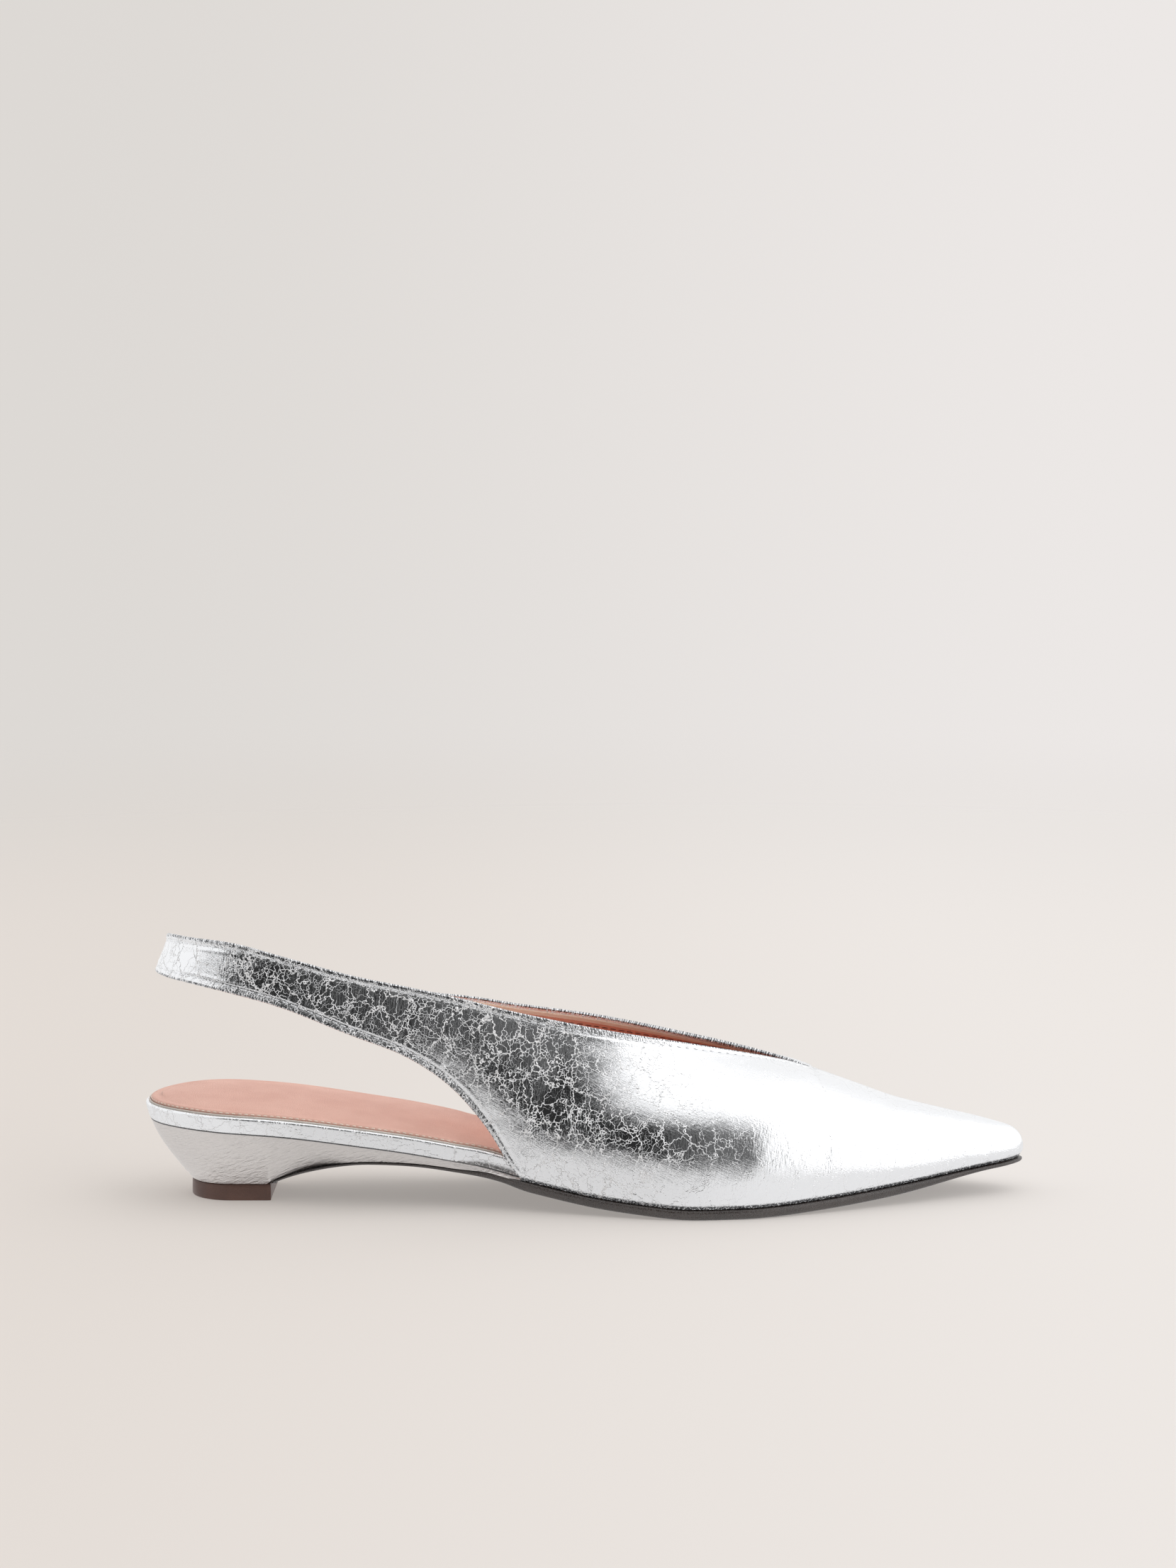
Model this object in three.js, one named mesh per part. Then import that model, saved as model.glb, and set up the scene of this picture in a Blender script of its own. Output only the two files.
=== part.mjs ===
// A flat pointed toe slingback for the right foot, in millimetres.
// +X points to the toe, +Y to the inner side of the foot and +Z up; the shoe stands on z = 0.
// Every place along the shoe is measured from the back of the footbed, and shares of length count from there.

import * as THREE from "three";
import { mergeVertices } from "three/addons/utils/BufferGeometryUtils.js";

// Lengths and widths
const length = 268; // back of the footbed to the tip of the toe
const ballWidth = 76; // the sole at the ball of the foot
const heelEndRound = 29; // length over which the plan closes round the heel
const toeEndRound = 9; // length over which the plan closes round the toe

// Sole, footbed and heel
const gap = 0.3; // clearance between two pieces that touch
const soleThick = 3;
const soleTipThin = 0.42; // share of soleThick left at the tip of the toe
const seatRise = 20.7; // underside of the footbed at the heel, above where it lies at the ball
const toeSpring = 7.5; // rise of the sole from the ball to the tip of the toe
const archHeight = 12.9; // highest point of the sole's underside
const footbedHeelThick = 5.2;
const footbedBallThick = 2.4;
const footbedEdgeRound = 0.8;
const footbedToeShort = 7; // the footbed ends this far behind the tip
const sockThick = 1.3;
const sockInset = 1.5; // bare margin of the footbed round the sock
const heelInset = 1.4; // the covered heel lies this far inside the footbed's edge
const heelSwell = 0.5; // how round the heel's sides are: 0 is straight
const heelBaseBack = 0.0515 * length; // back of the heel's foot, from the back of the footbed
const heelBaseLength = 0.0933 * length;
const heelBaseWidth = 25;
const heelBaseRound = 13; // length over which the heel's foot closes at the back
const topLiftHeight = 4.9;
const topLiftBevel = 0.4;
const wedgeEnd = 0.403 * length; // the covered heel thins out here, under the arch

// Upper and strap
const wall = 1.5; // leather and lining together
const strapTop = 80.8; // top edge of the strap at the back
const strapLow = 69; // lower edge of the strap at the back
const strapRound = 21; // length over which the strap's loop closes at the back
const strapTopBack = 7.2; // back of the loop at its top edge
const strapLowBack = 3.7; // back of the loop at its lower edge
const strapWidth = 50; // the loop across, over the heel
const quarterLanding = 0.429 * length; // the quarter's back edge reaches the sole here
const quarterTop = 0.4776 * length; // point of the topline above that landing
const throat = 0.7552 * length; // front point of the opening
const throatHeight = 38.3;
const noseTop = 0.9776 * length; // front end of the vamp's ridge, above the toe
const noseHeight = 20.6;
const innerDrop = 9.4; // most that the inner side of the strap lies below the outer

// Plan of the sole: half width and sideways swing of its centre, as shares of ballWidth.
const footprintRows = [
  { along: 0.0, half: 0.33, swing: 0 },
  { along: 0.12, half: 0.352, swing: 0 },
  { along: 0.28, half: 0.33, swing: -0.004 },
  { along: 0.36, half: 0.318, swing: -0.014 },
  { along: 0.46, half: 0.356, swing: -0.038 },
  { along: 0.56, half: 0.44, swing: -0.042 },
  { along: 0.62, half: 0.488, swing: -0.02 },
  { along: 0.67, half: 0.496, swing: 0.004 },
  { along: 0.76, half: 0.418, swing: 0.03 },
  { along: 0.86, half: 0.28, swing: 0.046 },
  { along: 0.94, half: 0.154, swing: 0.05 },
  { along: 1.0, half: 0.07, swing: 0.052 },
];

// Underside of the footbed: shares of seatRise behind the ball and of toeSpring before it.
const seatRows = [
  { along: 0.0, lift: 1.0, spring: 0 },
  { along: 0.037, lift: 1.006, spring: 0 },
  { along: 0.09, lift: 0.983, spring: 0 },
  { along: 0.164, lift: 0.913, spring: 0 },
  { along: 0.24, lift: 0.783, spring: 0 },
  { along: 0.313, lift: 0.64, spring: 0 },
  { along: 0.388, lift: 0.446, spring: 0 },
  { along: 0.433, lift: 0.306, spring: 0 },
  { along: 0.504, lift: 0.13, spring: 0 },
  { along: 0.567, lift: 0.045, spring: 0 },
  { along: 0.62, lift: 0, spring: 0 },
  { along: 0.71, lift: 0, spring: 0.03 },
  { along: 0.784, lift: 0, spring: 0.18 },
  { along: 0.873, lift: 0, spring: 0.48 },
  { along: 0.959, lift: 0, spring: 0.84 },
  { along: 1.0, lift: 0, spring: 0.96 },
];

// The waist: underside of the sole as a share of archHeight, its thickness as a share of soleThick,
// its half width there as a share of ballWidth, and how far the footbed has drawn in to fit inside the upper.
const waistRows = [
  { along: 0.145, arch: 0.4, thick: 0.25, under: 0.165, tuck: 0 },
  { along: 0.165, arch: 0.56, thick: 0.25, under: 0.172, tuck: 0 },
  { along: 0.185, arch: 0.7, thick: 0.25, under: 0.19, tuck: 0 },
  { along: 0.215, arch: 0.87, thick: 0.25, under: 0.23, tuck: 0 },
  { along: 0.25, arch: 0.985, thick: 0.25, under: 0.265, tuck: 0 },
  { along: 0.275, arch: 1.0, thick: 0.26, under: 0.28, tuck: 0 },
  { along: 0.315, arch: 0.96, thick: 0.28, under: 0.286, tuck: 0 },
  { along: 0.35, arch: 0.875, thick: 0.32, under: 0.296, tuck: 0.1 },
  { along: 0.385, arch: 0.765, thick: 0.35, under: 0.306, tuck: 1 },
  { along: 0.41, arch: 0.645, thick: 0.4, under: 0.318, tuck: 1 },
  { along: 0.44, arch: 0.45, thick: 1, under: 0.334, tuck: 1 },
];

// Thickness of the footbed: 1 is the heel's, 0 the ball's.
const footbedRows = [
  { along: 0.0, full: 1 },
  { along: 0.4, full: 1 },
  { along: 0.5, full: 0.45 },
  { along: 0.6, full: 0 },
  { along: 1.0, full: 0 },
];

// Topline of the outer side: height as a share of the way from throatHeight to strapTop,
// half width of the opening as a share of strapWidth, and drop of the inner side as a share of innerDrop.
const toplineRows = [
  { along: 0.0269, up: 0.972, half: 0.345, drop: 0 },
  { along: 0.031, up: 0.988, half: 0.35, drop: 0.32 },
  { along: 0.04, up: 1.0, half: 0.361, drop: 0.54 },
  { along: 0.06, up: 1.0, half: 0.385, drop: 0.74 },
  { along: 0.1, up: 0.99, half: 0.43, drop: 0.9 },
  { along: 0.164, up: 0.894, half: 0.47, drop: 0.97 },
  { along: 0.24, up: 0.765, half: 0.485, drop: 1.0 },
  { along: 0.31, up: 0.675, half: 0.49, drop: 0.97 },
  { along: 0.37, up: 0.59, half: 0.49, drop: 0.78 },
  { along: 0.42, up: 0.51, half: 0.485, drop: 0.64 },
  { along: 0.52, up: 0.37, half: 0.43, drop: 0.36 },
  { along: 0.64, up: 0.208, half: 0.25, drop: 0.18 },
  { along: 0.72, up: 0.082, half: 0.095, drop: 0.07 },
  { along: 0.7552, up: 0, half: 0, drop: 0 },
];

// Lower edge of strap and quarter: height as a share of the way from the sole at quarterLanding to strapLow,
// half width as a share of strapWidth, how far it has flared out to the plan of the sole,
// and drop of the inner side as a share of innerDrop.
const lowEdgeRows = [
  { along: 0.0138, up: 1.0, half: 0.36, flare: 0, drop: 0 },
  { along: 0.018, up: 1.0, half: 0.364, flare: 0, drop: 0.2 },
  { along: 0.028, up: 0.997, half: 0.373, flare: 0, drop: 0.44 },
  { along: 0.06, up: 0.983, half: 0.4, flare: 0, drop: 0.75 },
  { along: 0.1, up: 0.95, half: 0.443, flare: 0, drop: 0.86 },
  { along: 0.164, up: 0.874, half: 0.487, flare: 0, drop: 0.8 },
  { along: 0.238, up: 0.742, half: 0.503, flare: 0.05, drop: 0.8 },
  { along: 0.294, up: 0.645, half: 0.51, flare: 0.2, drop: 0.66 },
  { along: 0.33, up: 0.55, half: 0.52, flare: 0.36, drop: 0.5 },
  { along: 0.356, up: 0.451, half: 0.52, flare: 0.55, drop: 0.38 },
  { along: 0.379, up: 0.333, half: 0.52, flare: 0.75, drop: 0.25 },
  { along: 0.397, up: 0.222, half: 0.52, flare: 0.9, drop: 0.14 },
  { along: 0.412, up: 0.108, half: 0.52, flare: 0.98, drop: 0.05 },
  { along: 0.429, up: 0, half: 0.52, flare: 1, drop: 0 },
];

// Ridge of the vamp: height as a share of the way from noseHeight to throatHeight.
const ridgeRows = [
  { along: 0.7552, up: 1.0 },
  { along: 0.81, up: 0.7 },
  { along: 0.852, up: 0.472 },
  { along: 0.902, up: 0.284 },
  { along: 0.944, up: 0.137 },
  { along: 0.9776, up: 0 },
];

// Centre line that the opening and the ridge follow, as a share of ballWidth.
const spineRows = [
  { along: 0.0, swing: 0 },
  { along: 0.4, swing: -0.008 },
  { along: 0.6, swing: -0.002 },
  { along: 0.755, swing: 0.018 },
  { along: 0.86, swing: 0.036 },
  { along: 0.978, swing: 0.05 },
];

// How the leather falls between its two edges, by the place of its lower edge: lean outwards there
// and slope of the topline or ridge in degrees, and the pull of each as a share of the straight distance.
const drapeRows = [
  { along: 0.0, lean: -6, lowPull: 0.33, slope: 82, topPull: 0.33 },
  { along: 0.1, lean: -3, lowPull: 0.33, slope: 81, topPull: 0.33 },
  { along: 0.25, lean: 0, lowPull: 0.33, slope: 81, topPull: 0.33 },
  { along: 0.35, lean: 5, lowPull: 0.33, slope: 79, topPull: 0.33 },
  { along: 0.425, lean: 10, lowPull: 0.37, slope: 73, topPull: 0.34 },
  { along: 0.5, lean: 9, lowPull: 0.48, slope: 56, topPull: 0.38 },
  { along: 0.6, lean: 8, lowPull: 0.54, slope: 31, topPull: 0.42 },
  { along: 0.7, lean: 12, lowPull: 0.5, slope: 9, topPull: 0.41 },
  { along: 0.765, lean: 16, lowPull: 0.45, slope: 0, topPull: 0.39 },
  { along: 0.9, lean: 21, lowPull: 0.42, slope: 0, topPull: 0.39 },
  { along: 1.0, lean: 20, lowPull: 0.45, slope: 0, topPull: 0.45 },
];

// Stations along the upper and points up its wall
const upperSteps = { loop: 8, quarter: 15, vamp: 12, ridge: 8, nose: 6 };
const wallSteps = 11;

const mix = (a, b, share) => a + (b - a) * share;
const degrees = THREE.MathUtils.degToRad;

// A share that rises smoothly from 0 at the first place to 1 at the second.
const ease = (place, from, to) => THREE.MathUtils.smoothstep(place, from, to);

// The named column of a table as a smooth function of the place along the shoe, in millimetres.
// Its slope is limited so that it never overshoots a row.
function column(rows, name) {
  const at = rows.map((row) => row.along * length);
  const value = rows.map((row) => row[name]);
  const rise = at.slice(1).map((place, i) => (value[i + 1] - value[i]) / (place - at[i]));
  const slope = value.map((_, i) => {
    if (i === 0) return rise[0];
    if (i === value.length - 1) return rise[i - 1];
    const [before, after] = [rise[i - 1], rise[i]];
    if (before * after <= 0) return 0;
    const middle = (value[i + 1] - value[i - 1]) / (at[i + 1] - at[i - 1]);
    const most = 3 * Math.min(Math.abs(before), Math.abs(after));
    return Math.sign(middle) * Math.min(Math.abs(middle), most);
  });
  return (place) => {
    const p = THREE.MathUtils.clamp(place, at[0], at[at.length - 1]);
    const i = Math.max(0, Math.min(at.length - 2, at.findIndex((edge) => edge > p) - 1));
    const k = at[i + 1] > p ? i : at.length - 2;
    const span = at[k + 1] - at[k];
    const t = (p - at[k]) / span;
    const [t2, t3] = [t * t, t * t * t];
    return (
      value[k] * (2 * t3 - 3 * t2 + 1) +
      slope[k] * span * (t3 - 2 * t2 + t) +
      value[k + 1] * (3 * t2 - 2 * t3) +
      slope[k + 1] * span * (t3 - t2)
    );
  };
}

const planHalf = column(footprintRows, "half");
const planSwing = column(footprintRows, "swing");
const seatLift = column(seatRows, "lift");
const seatSpring = column(seatRows, "spring");
const archShare = column(waistRows, "arch");
const waistThick = column(waistRows, "thick");
const waistUnder = column(waistRows, "under");
const footbedTuck = column(waistRows, "tuck");
const footbedFull = column(footbedRows, "full");
const toplineUp = column(toplineRows, "up");
const toplineHalf = column(toplineRows, "half");
const toplineDrop = column(toplineRows, "drop");
const lowEdgeUp = column(lowEdgeRows, "up");
const lowEdgeHalf = column(lowEdgeRows, "half");
const lowEdgeFlare = column(lowEdgeRows, "flare");
const lowEdgeDrop = column(lowEdgeRows, "drop");
const ridgeUp = column(ridgeRows, "up");
const spineSwing = column(spineRows, "swing");
const drape = Object.fromEntries(
  ["lean", "lowPull", "slope", "topPull"].map((name) => [name, column(drapeRows, name)]),
);

// Heights of the sole and the footbed
const seat = (place) => soleThick + gap + seatRise * seatLift(place) + toeSpring * seatSpring(place);
const forepartShare = (place) => ease(place, wedgeEnd, wedgeEnd + 11);
const forepartThick = (place) => soleThick * mix(1, soleTipThin, ease(place, 0.83 * length, 0.975 * length));
const soleUnder = (place) =>
  mix(archHeight * archShare(place), seat(place) - gap - forepartThick(place), forepartShare(place));
const soleTop = (place) =>
  mix(
    soleUnder(place) + soleThick * waistThick(place),
    seat(place) - gap,
    ease(place, wedgeEnd + gap, wedgeEnd + 2),
  );
const footbedTop = (place) => seat(place) + mix(footbedBallThick, footbedHeelThick, footbedFull(place));

// The quarter circle that closes a plan at its end: 0 at the end and 1 from `round` inwards.
const closing = (distance, round) => Math.sqrt(1 - (1 - THREE.MathUtils.clamp(distance / round, 0, 1)) ** 2);

// Half width of the sole's plan drawn in by inset, with both ends drawn in alike.
function planHalfInset(place, inset, from, to) {
  const half = ballWidth * planHalf(place) - inset;
  return half * closing(place - from, heelEndRound) * closing(to - place, toeEndRound);
}

// Places from one end of a plan to the other, closer together where an end is round.
function placesBetween(from, to, { startRound = 0, endRound = 0, steps, roundSteps = 7 }) {
  const places = [];
  for (let i = 0; i < roundSteps && startRound; i++)
    places.push(from + startRound * (1 - Math.cos((i / roundSteps) * (Math.PI / 2))));
  for (let i = 0; i <= steps; i++) places.push(mix(from + startRound, to - endRound, i / steps));
  for (let i = 1; i <= roundSteps && endRound; i++)
    places.push(to - endRound * (1 - Math.sin((i / roundSteps) * (Math.PI / 2))));
  return places;
}

// Geometry from loose triangles: corners are welded, and triangles with no area are dropped.
function weld(triangles) {
  const loose = new THREE.BufferGeometry().setFromPoints(triangles.flat());
  const welded = mergeVertices(loose, 1e-3);
  const index = welded.index.array;
  const kept = [];
  for (let i = 0; i < index.length; i += 3) {
    const [a, b, c] = [index[i], index[i + 1], index[i + 2]];
    if (a !== b && b !== c && c !== a) kept.push(a, b, c);
  }
  return welded.setIndex(kept);
}

// A closed solid through rings of equally many points. An end whose ring has closed to a line needs no cap.
function loft(rings, { startCap = true, endCap = true } = {}) {
  const triangles = [];
  const count = rings[0].length;
  for (let k = 0; k + 1 < rings.length; k++)
    for (let j = 0; j < count; j++) {
      const next = (j + 1) % count;
      const [a, b, c, d] = [rings[k][j], rings[k][next], rings[k + 1][next], rings[k + 1][j]];
      triangles.push([a, b, c], [a, c, d]);
    }
  const cap = (ring, turned) => {
    const middle = ring.reduce((sum, p) => sum.add(p), new THREE.Vector3()).divideScalar(count);
    ring.forEach((p, j) => {
      const q = ring[(j + 1) % count];
      triangles.push(turned ? [middle, p, q] : [middle, q, p]);
    });
  };
  if (startCap) cap(rings[0], false);
  if (endCap) cap(rings[rings.length - 1], true);
  return facingOut(weld(triangles));
}

// The same geometry with its faces turned round if they point inwards.
function facingOut(geometry) {
  const position = geometry.getAttribute("position");
  const index = geometry.index.array;
  const corner = (i) => new THREE.Vector3().fromBufferAttribute(position, index[i]);
  let volume = 0;
  for (let i = 0; i < index.length; i += 3) volume += corner(i).dot(corner(i + 1).cross(corner(i + 2)));
  if (volume < 0)
    for (let i = 0; i < index.length; i += 3) [index[i + 1], index[i + 2]] = [index[i + 2], index[i + 1]];
  return geometry;
}

// A wall of even thickness behind an open surface, closed round the surface's edges.
function thicken(surface, thickness) {
  surface.computeVertexNormals();
  const position = surface.getAttribute("position");
  const normal = surface.getAttribute("normal");
  const index = surface.index.array;
  const outside = [];
  const inside = [];
  for (let i = 0; i < position.count; i++) {
    outside.push(new THREE.Vector3().fromBufferAttribute(position, i));
    const away = new THREE.Vector3().fromBufferAttribute(normal, i).multiplyScalar(-thickness);
    inside.push(outside[i].clone().add(away));
  }
  const triangles = [];
  const edges = new Set();
  for (let i = 0; i < index.length; i += 3) {
    const [a, b, c] = [index[i], index[i + 1], index[i + 2]];
    triangles.push([outside[a], outside[b], outside[c]], [inside[a], inside[c], inside[b]]);
    for (const [p, q] of [[a, b], [b, c], [c, a]]) edges.add(p + "," + q);
  }
  for (const edge of edges) {
    const [p, q] = edge.split(",").map(Number);
    if (edges.has(q + "," + p)) continue;
    triangles.push([outside[q], outside[p], inside[p]], [outside[q], inside[p], inside[q]]);
  }
  return facingOut(weld(triangles));
}

// Flat pieces: a ring across the shoe at one place, with its lower and upper edges rounded or bevelled.
function crossRing(place, centre, half, low, high, { lowBevel = 0, highBevel = 0 } = {}) {
  const narrow = (bevel) => Math.max(0, half - bevel);
  const side = [
    [narrow(lowBevel), low],
    [half, low + Math.min(lowBevel, (high - low) / 2)],
    [half, high - Math.min(highBevel, (high - low) / 2)],
    [narrow(highBevel), high],
  ];
  const inner = side.map(([y, z]) => new THREE.Vector3(place, centre + y, z));
  const outer = side.map(([y, z]) => new THREE.Vector3(place, centre - y, z)).reverse();
  return [...inner, ...outer];
}

function outsole() {
  const from = heelBaseBack + heelBaseLength + 2 * gap;
  const behind = placesBetween(from, wedgeEnd + gap, { steps: 18 });
  const places = [...behind, ...placesBetween(wedgeEnd + 1, length, { endRound: toeEndRound, steps: 40 })];
  const rings = places.map((place) => {
    const front = planHalfInset(place, 0, 0, length);
    const half = mix(ballWidth * waistUnder(place), front, forepartShare(place));
    return crossRing(place, ballWidth * planSwing(place), half, soleUnder(place), soleTop(place), {
      lowBevel: 0.3 * (soleTop(place) - soleUnder(place)),
    });
  });
  return loft(rings, { endCap: false });
}

function footbedHalf(place, extra) {
  const inset = (wall + 2 * gap) * footbedTuck(place) + extra;
  return planHalfInset(place, inset, extra, length - footbedToeShort - extra);
}

function footbed() {
  const to = length - footbedToeShort;
  const ends = { startRound: heelEndRound, endRound: toeEndRound, steps: 36 };
  const rings = placesBetween(0, to, ends).map((place) =>
    crossRing(place, ballWidth * planSwing(place), footbedHalf(place, 0), seat(place), footbedTop(place), {
      highBevel: footbedEdgeRound,
      lowBevel: footbedEdgeRound / 2,
    }),
  );
  return loft(rings, { startCap: false, endCap: false });
}

function sock() {
  const ends = { startRound: heelEndRound, endRound: toeEndRound, steps: 36 };
  const places = placesBetween(sockInset, length - footbedToeShort - sockInset, ends);
  const rings = places.map((place) => {
    const low = footbedTop(place) + gap;
    const centre = ballWidth * planSwing(place);
    return crossRing(place, centre, footbedHalf(place, sockInset), low, low + sockThick - gap, {
      highBevel: sockThick / 3,
    });
  });
  return loft(rings, { startCap: false, endCap: false });
}

// The covered heel: its sides run from the footbed's edge down to a foot at the back and the arch before it.
function heel() {
  const baseFront = heelBaseBack + heelBaseLength;
  const start = { top: heelInset + heelEndRound, base: heelBaseBack + heelBaseRound };
  const roundSteps = 8;
  const footSteps = 4;
  const archSteps = 22;
  const topAt = (base) => mix(start.top, wedgeEnd, (base - start.base) / (wedgeEnd - start.base));
  const places = [];
  for (let i = 0; i < roundSteps; i++) {
    const turn = 1 - Math.cos((i / roundSteps) * (Math.PI / 2));
    places.push({ top: heelInset + heelEndRound * turn, base: heelBaseBack + heelBaseRound * turn });
  }
  for (let i = 0; i <= footSteps; i++) places.push({ base: mix(start.base, baseFront, i / footSteps) });
  for (let i = 0; i <= archSteps; i++) places.push({ base: mix(baseFront + gap, wedgeEnd, i / archSteps) });
  const underAt = (base) => (base <= baseFront ? topLiftHeight + gap : soleTop(base) + gap);
  const baseHalf = (base) => {
    const beyond = ease(base, baseFront, baseFront + heelBaseLength);
    const half = mix(heelBaseWidth / 2, ballWidth * waistUnder(base), beyond);
    return half * closing(base - heelBaseBack, heelBaseRound);
  };
  const sideSteps = 6;
  const rings = places.map(({ base, top = topAt(base) }) => {
    const topHalf = planHalfInset(top, heelInset, heelInset, length);
    const topCentre = ballWidth * planSwing(top);
    const topZ = seat(top) - gap;
    const underZ = Math.min(underAt(base), topZ - 2 * gap);
    const centre = ballWidth * planSwing(base);
    // The side swells a little outwards between its two edges.
    const side = (sign) =>
      Array.from({ length: sideSteps + 1 }, (_, j) => {
        const up = j / sideSteps;
        const out = mix(up, Math.sin((up * Math.PI) / 2), heelSwell);
        return new THREE.Vector3(
          mix(base, top, out),
          mix(centre + sign * baseHalf(base), topCentre + sign * topHalf, out),
          mix(underZ, topZ, up),
        );
      });
    return [...side(1), ...side(-1).reverse()];
  });
  return loft(rings, { startCap: false });
}

function topLift() {
  const half = heelBaseWidth / 2;
  const front = heelBaseBack + heelBaseLength;
  const ends = { startRound: heelBaseRound, steps: 3, roundSteps: 9 };
  const rings = placesBetween(heelBaseBack, front, ends).map((place) =>
    crossRing(place, 0, half * closing(place - heelBaseBack, heelBaseRound), 0, topLiftHeight, {
      lowBevel: topLiftBevel,
    }),
  );
  return loft(rings, { startCap: false });
}

// Pairs of places on the upper's lower and top edges that one line of the leather joins,
// with how far the plan is open there: from the back of the strap, round the sole, to the nose.
function upperStations() {
  const list = [];
  const loopEnd = { low: strapLowBack + strapRound, top: strapTopBack + strapRound };
  const noseStart = { low: length - toeEndRound - gap, top: noseTop - 0.6 * toeEndRound };
  const add = (low, top, open) => list.push({ low, top, open });
  for (let i = 0; i < upperSteps.loop; i++) {
    const turn = (i / upperSteps.loop) * (Math.PI / 2);
    const back = strapRound * (1 - Math.cos(turn));
    add(strapLowBack + back, strapTopBack + back, Math.sin(turn));
  }
  for (let i = 0; i < upperSteps.quarter; i++) {
    const share = i / upperSteps.quarter;
    const crowded = Math.sin((share * Math.PI) / 2) * 0.4 + share * 0.6; // closer where the edge turns down
    add(mix(loopEnd.low, quarterLanding, crowded), mix(loopEnd.top, quarterTop, share), 1);
  }
  for (let i = 0; i < upperSteps.vamp; i++) {
    const share = i / upperSteps.vamp;
    add(mix(quarterLanding, throat + 2, share), mix(quarterTop, throat, share), 1);
  }
  for (let i = 0; i < upperSteps.ridge; i++) {
    const share = i / upperSteps.ridge;
    add(mix(throat + 2, noseStart.low, share), mix(throat, noseStart.top, share), 1);
  }
  for (let i = 0; i <= upperSteps.nose; i++) {
    const turn = (i / upperSteps.nose) * (Math.PI / 2);
    const low = noseStart.low + toeEndRound * Math.sin(turn);
    add(low, mix(noseStart.top, noseTop, Math.sin(turn)), Math.cos(turn));
  }
  return list;
}

// A point of the upper's lower edge. The side is -1 for the outer side of the foot and 1 for the inner.
function lowEdgePoint({ low, open }, side) {
  const sole = ballWidth * (planSwing(low) + side * planHalf(low));
  if (low >= quarterLanding) {
    const centre = ballWidth * planSwing(low);
    return new THREE.Vector3(low, mix(centre, sole, open), seat(low));
  }
  const strap = ballWidth * spineSwing(low) + side * strapWidth * lowEdgeHalf(low) * open;
  const landing = seat(quarterLanding);
  const high = mix(landing, strapLow, lowEdgeUp(low));
  const drop = side > 0 ? innerDrop * lowEdgeDrop(low) : 0;
  return new THREE.Vector3(low, mix(strap, sole, lowEdgeFlare(low)), Math.max(landing, high - drop));
}

// A point of the topline, or of the ridge before the throat.
function topEdgePoint({ top, open }, side) {
  const centre = ballWidth * spineSwing(top);
  if (top >= throat) return new THREE.Vector3(top, centre, mix(noseHeight, throatHeight, ridgeUp(top)));
  const half = strapWidth * toplineHalf(top) * open;
  const drop = side > 0 ? innerDrop * toplineDrop(top) : 0;
  return new THREE.Vector3(top, centre + side * half, mix(throatHeight, strapTop, toplineUp(top)) - drop);
}

// One side of the upper's outer face: a line of points for each station, from its lower edge to its top.
function upperSide(side) {
  const stations = upperStations();
  const lows = stations.map((station) => lowEdgePoint(station, side));
  const tops = stations.map((station) => topEdgePoint(station, side));
  const last = stations.length - 1;
  return stations.map((station, i) => {
    const [low, top] = [lows[i], tops[i]];
    const along = lows[Math.min(i + 1, last)].clone().sub(lows[Math.max(i - 1, 0)]);
    const out = new THREE.Vector3(-side * along.y, side * along.x, 0).normalize();
    if (i === 0) out.set(-1, 0, 0);
    if (i === last) out.set(1, 0, 0);
    const ridge = tops[Math.min(i + 1, last)].clone().sub(tops[Math.max(i - 1, 0)]).normalize();
    const onRidge = station.top >= throat;
    const topOut = onRidge ? ridge.multiplyScalar(out.x).add(new THREE.Vector3(0, out.y, 0)) : out;
    const reach = low.distanceTo(top);
    const lean = degrees(drape.lean(station.low));
    const slope = degrees(drape.slope(station.low));
    const lowPull = out.clone().multiplyScalar(Math.sin(lean)).setZ(Math.cos(lean));
    const topPull = topOut.clone().multiplyScalar(Math.cos(slope));
    topPull.z -= Math.sin(slope);
    const fall = new THREE.CubicBezierCurve3(
      low,
      low.clone().addScaledVector(lowPull, reach * drape.lowPull(station.low)),
      top.clone().addScaledVector(topPull, reach * drape.topPull(station.low)),
      top,
    );
    return fall.getPoints(wallSteps);
  });
}

function upper() {
  const triangles = [];
  for (const side of [-1, 1]) {
    const lines = upperSide(side);
    for (let i = 0; i + 1 < lines.length; i++)
      for (let j = 0; j < wallSteps; j++) {
        const [a, b, c, d] = [lines[i][j], lines[i + 1][j], lines[i + 1][j + 1], lines[i][j + 1]];
        if (side < 0) triangles.push([a, b, c], [a, c, d]);
        else triangles.push([a, c, b], [a, d, c]);
      }
  }
  return thicken(weld(triangles), wall);
}

const finish = (colour, roughness, metalness) =>
  new THREE.MeshStandardMaterial({ color: colour, roughness, metalness });
const silverLeather = finish(0xd9dadb, 0.25, 1);
const pinkLining = finish(0xdba997, 0.6, 0);
const brownSole = finish(0x3a2a25, 0.55, 0);
const brownLift = finish(0x4b342b, 0.45, 0);

const shoe = new THREE.Group();
function addPiece(name, geometry, material) {
  const mesh = new THREE.Mesh(geometry, material);
  mesh.name = name;
  shoe.add(mesh);
}

addPiece("outsole", outsole(), brownSole);
addPiece("upper", upper(), silverLeather);
addPiece("footbed", footbed(), silverLeather);
addPiece("sock", sock(), pinkLining);
addPiece("heel", heel(), silverLeather);
addPiece("top_lift", topLift(), brownLift);

// The origin is on the floor, under the middle of the shoe's length and width.
const middle = new THREE.Box3().setFromObject(shoe).getCenter(new THREE.Vector3());
for (const piece of shoe.children) piece.position.set(-middle.x, -middle.y, 0);

export default shoe;
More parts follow.
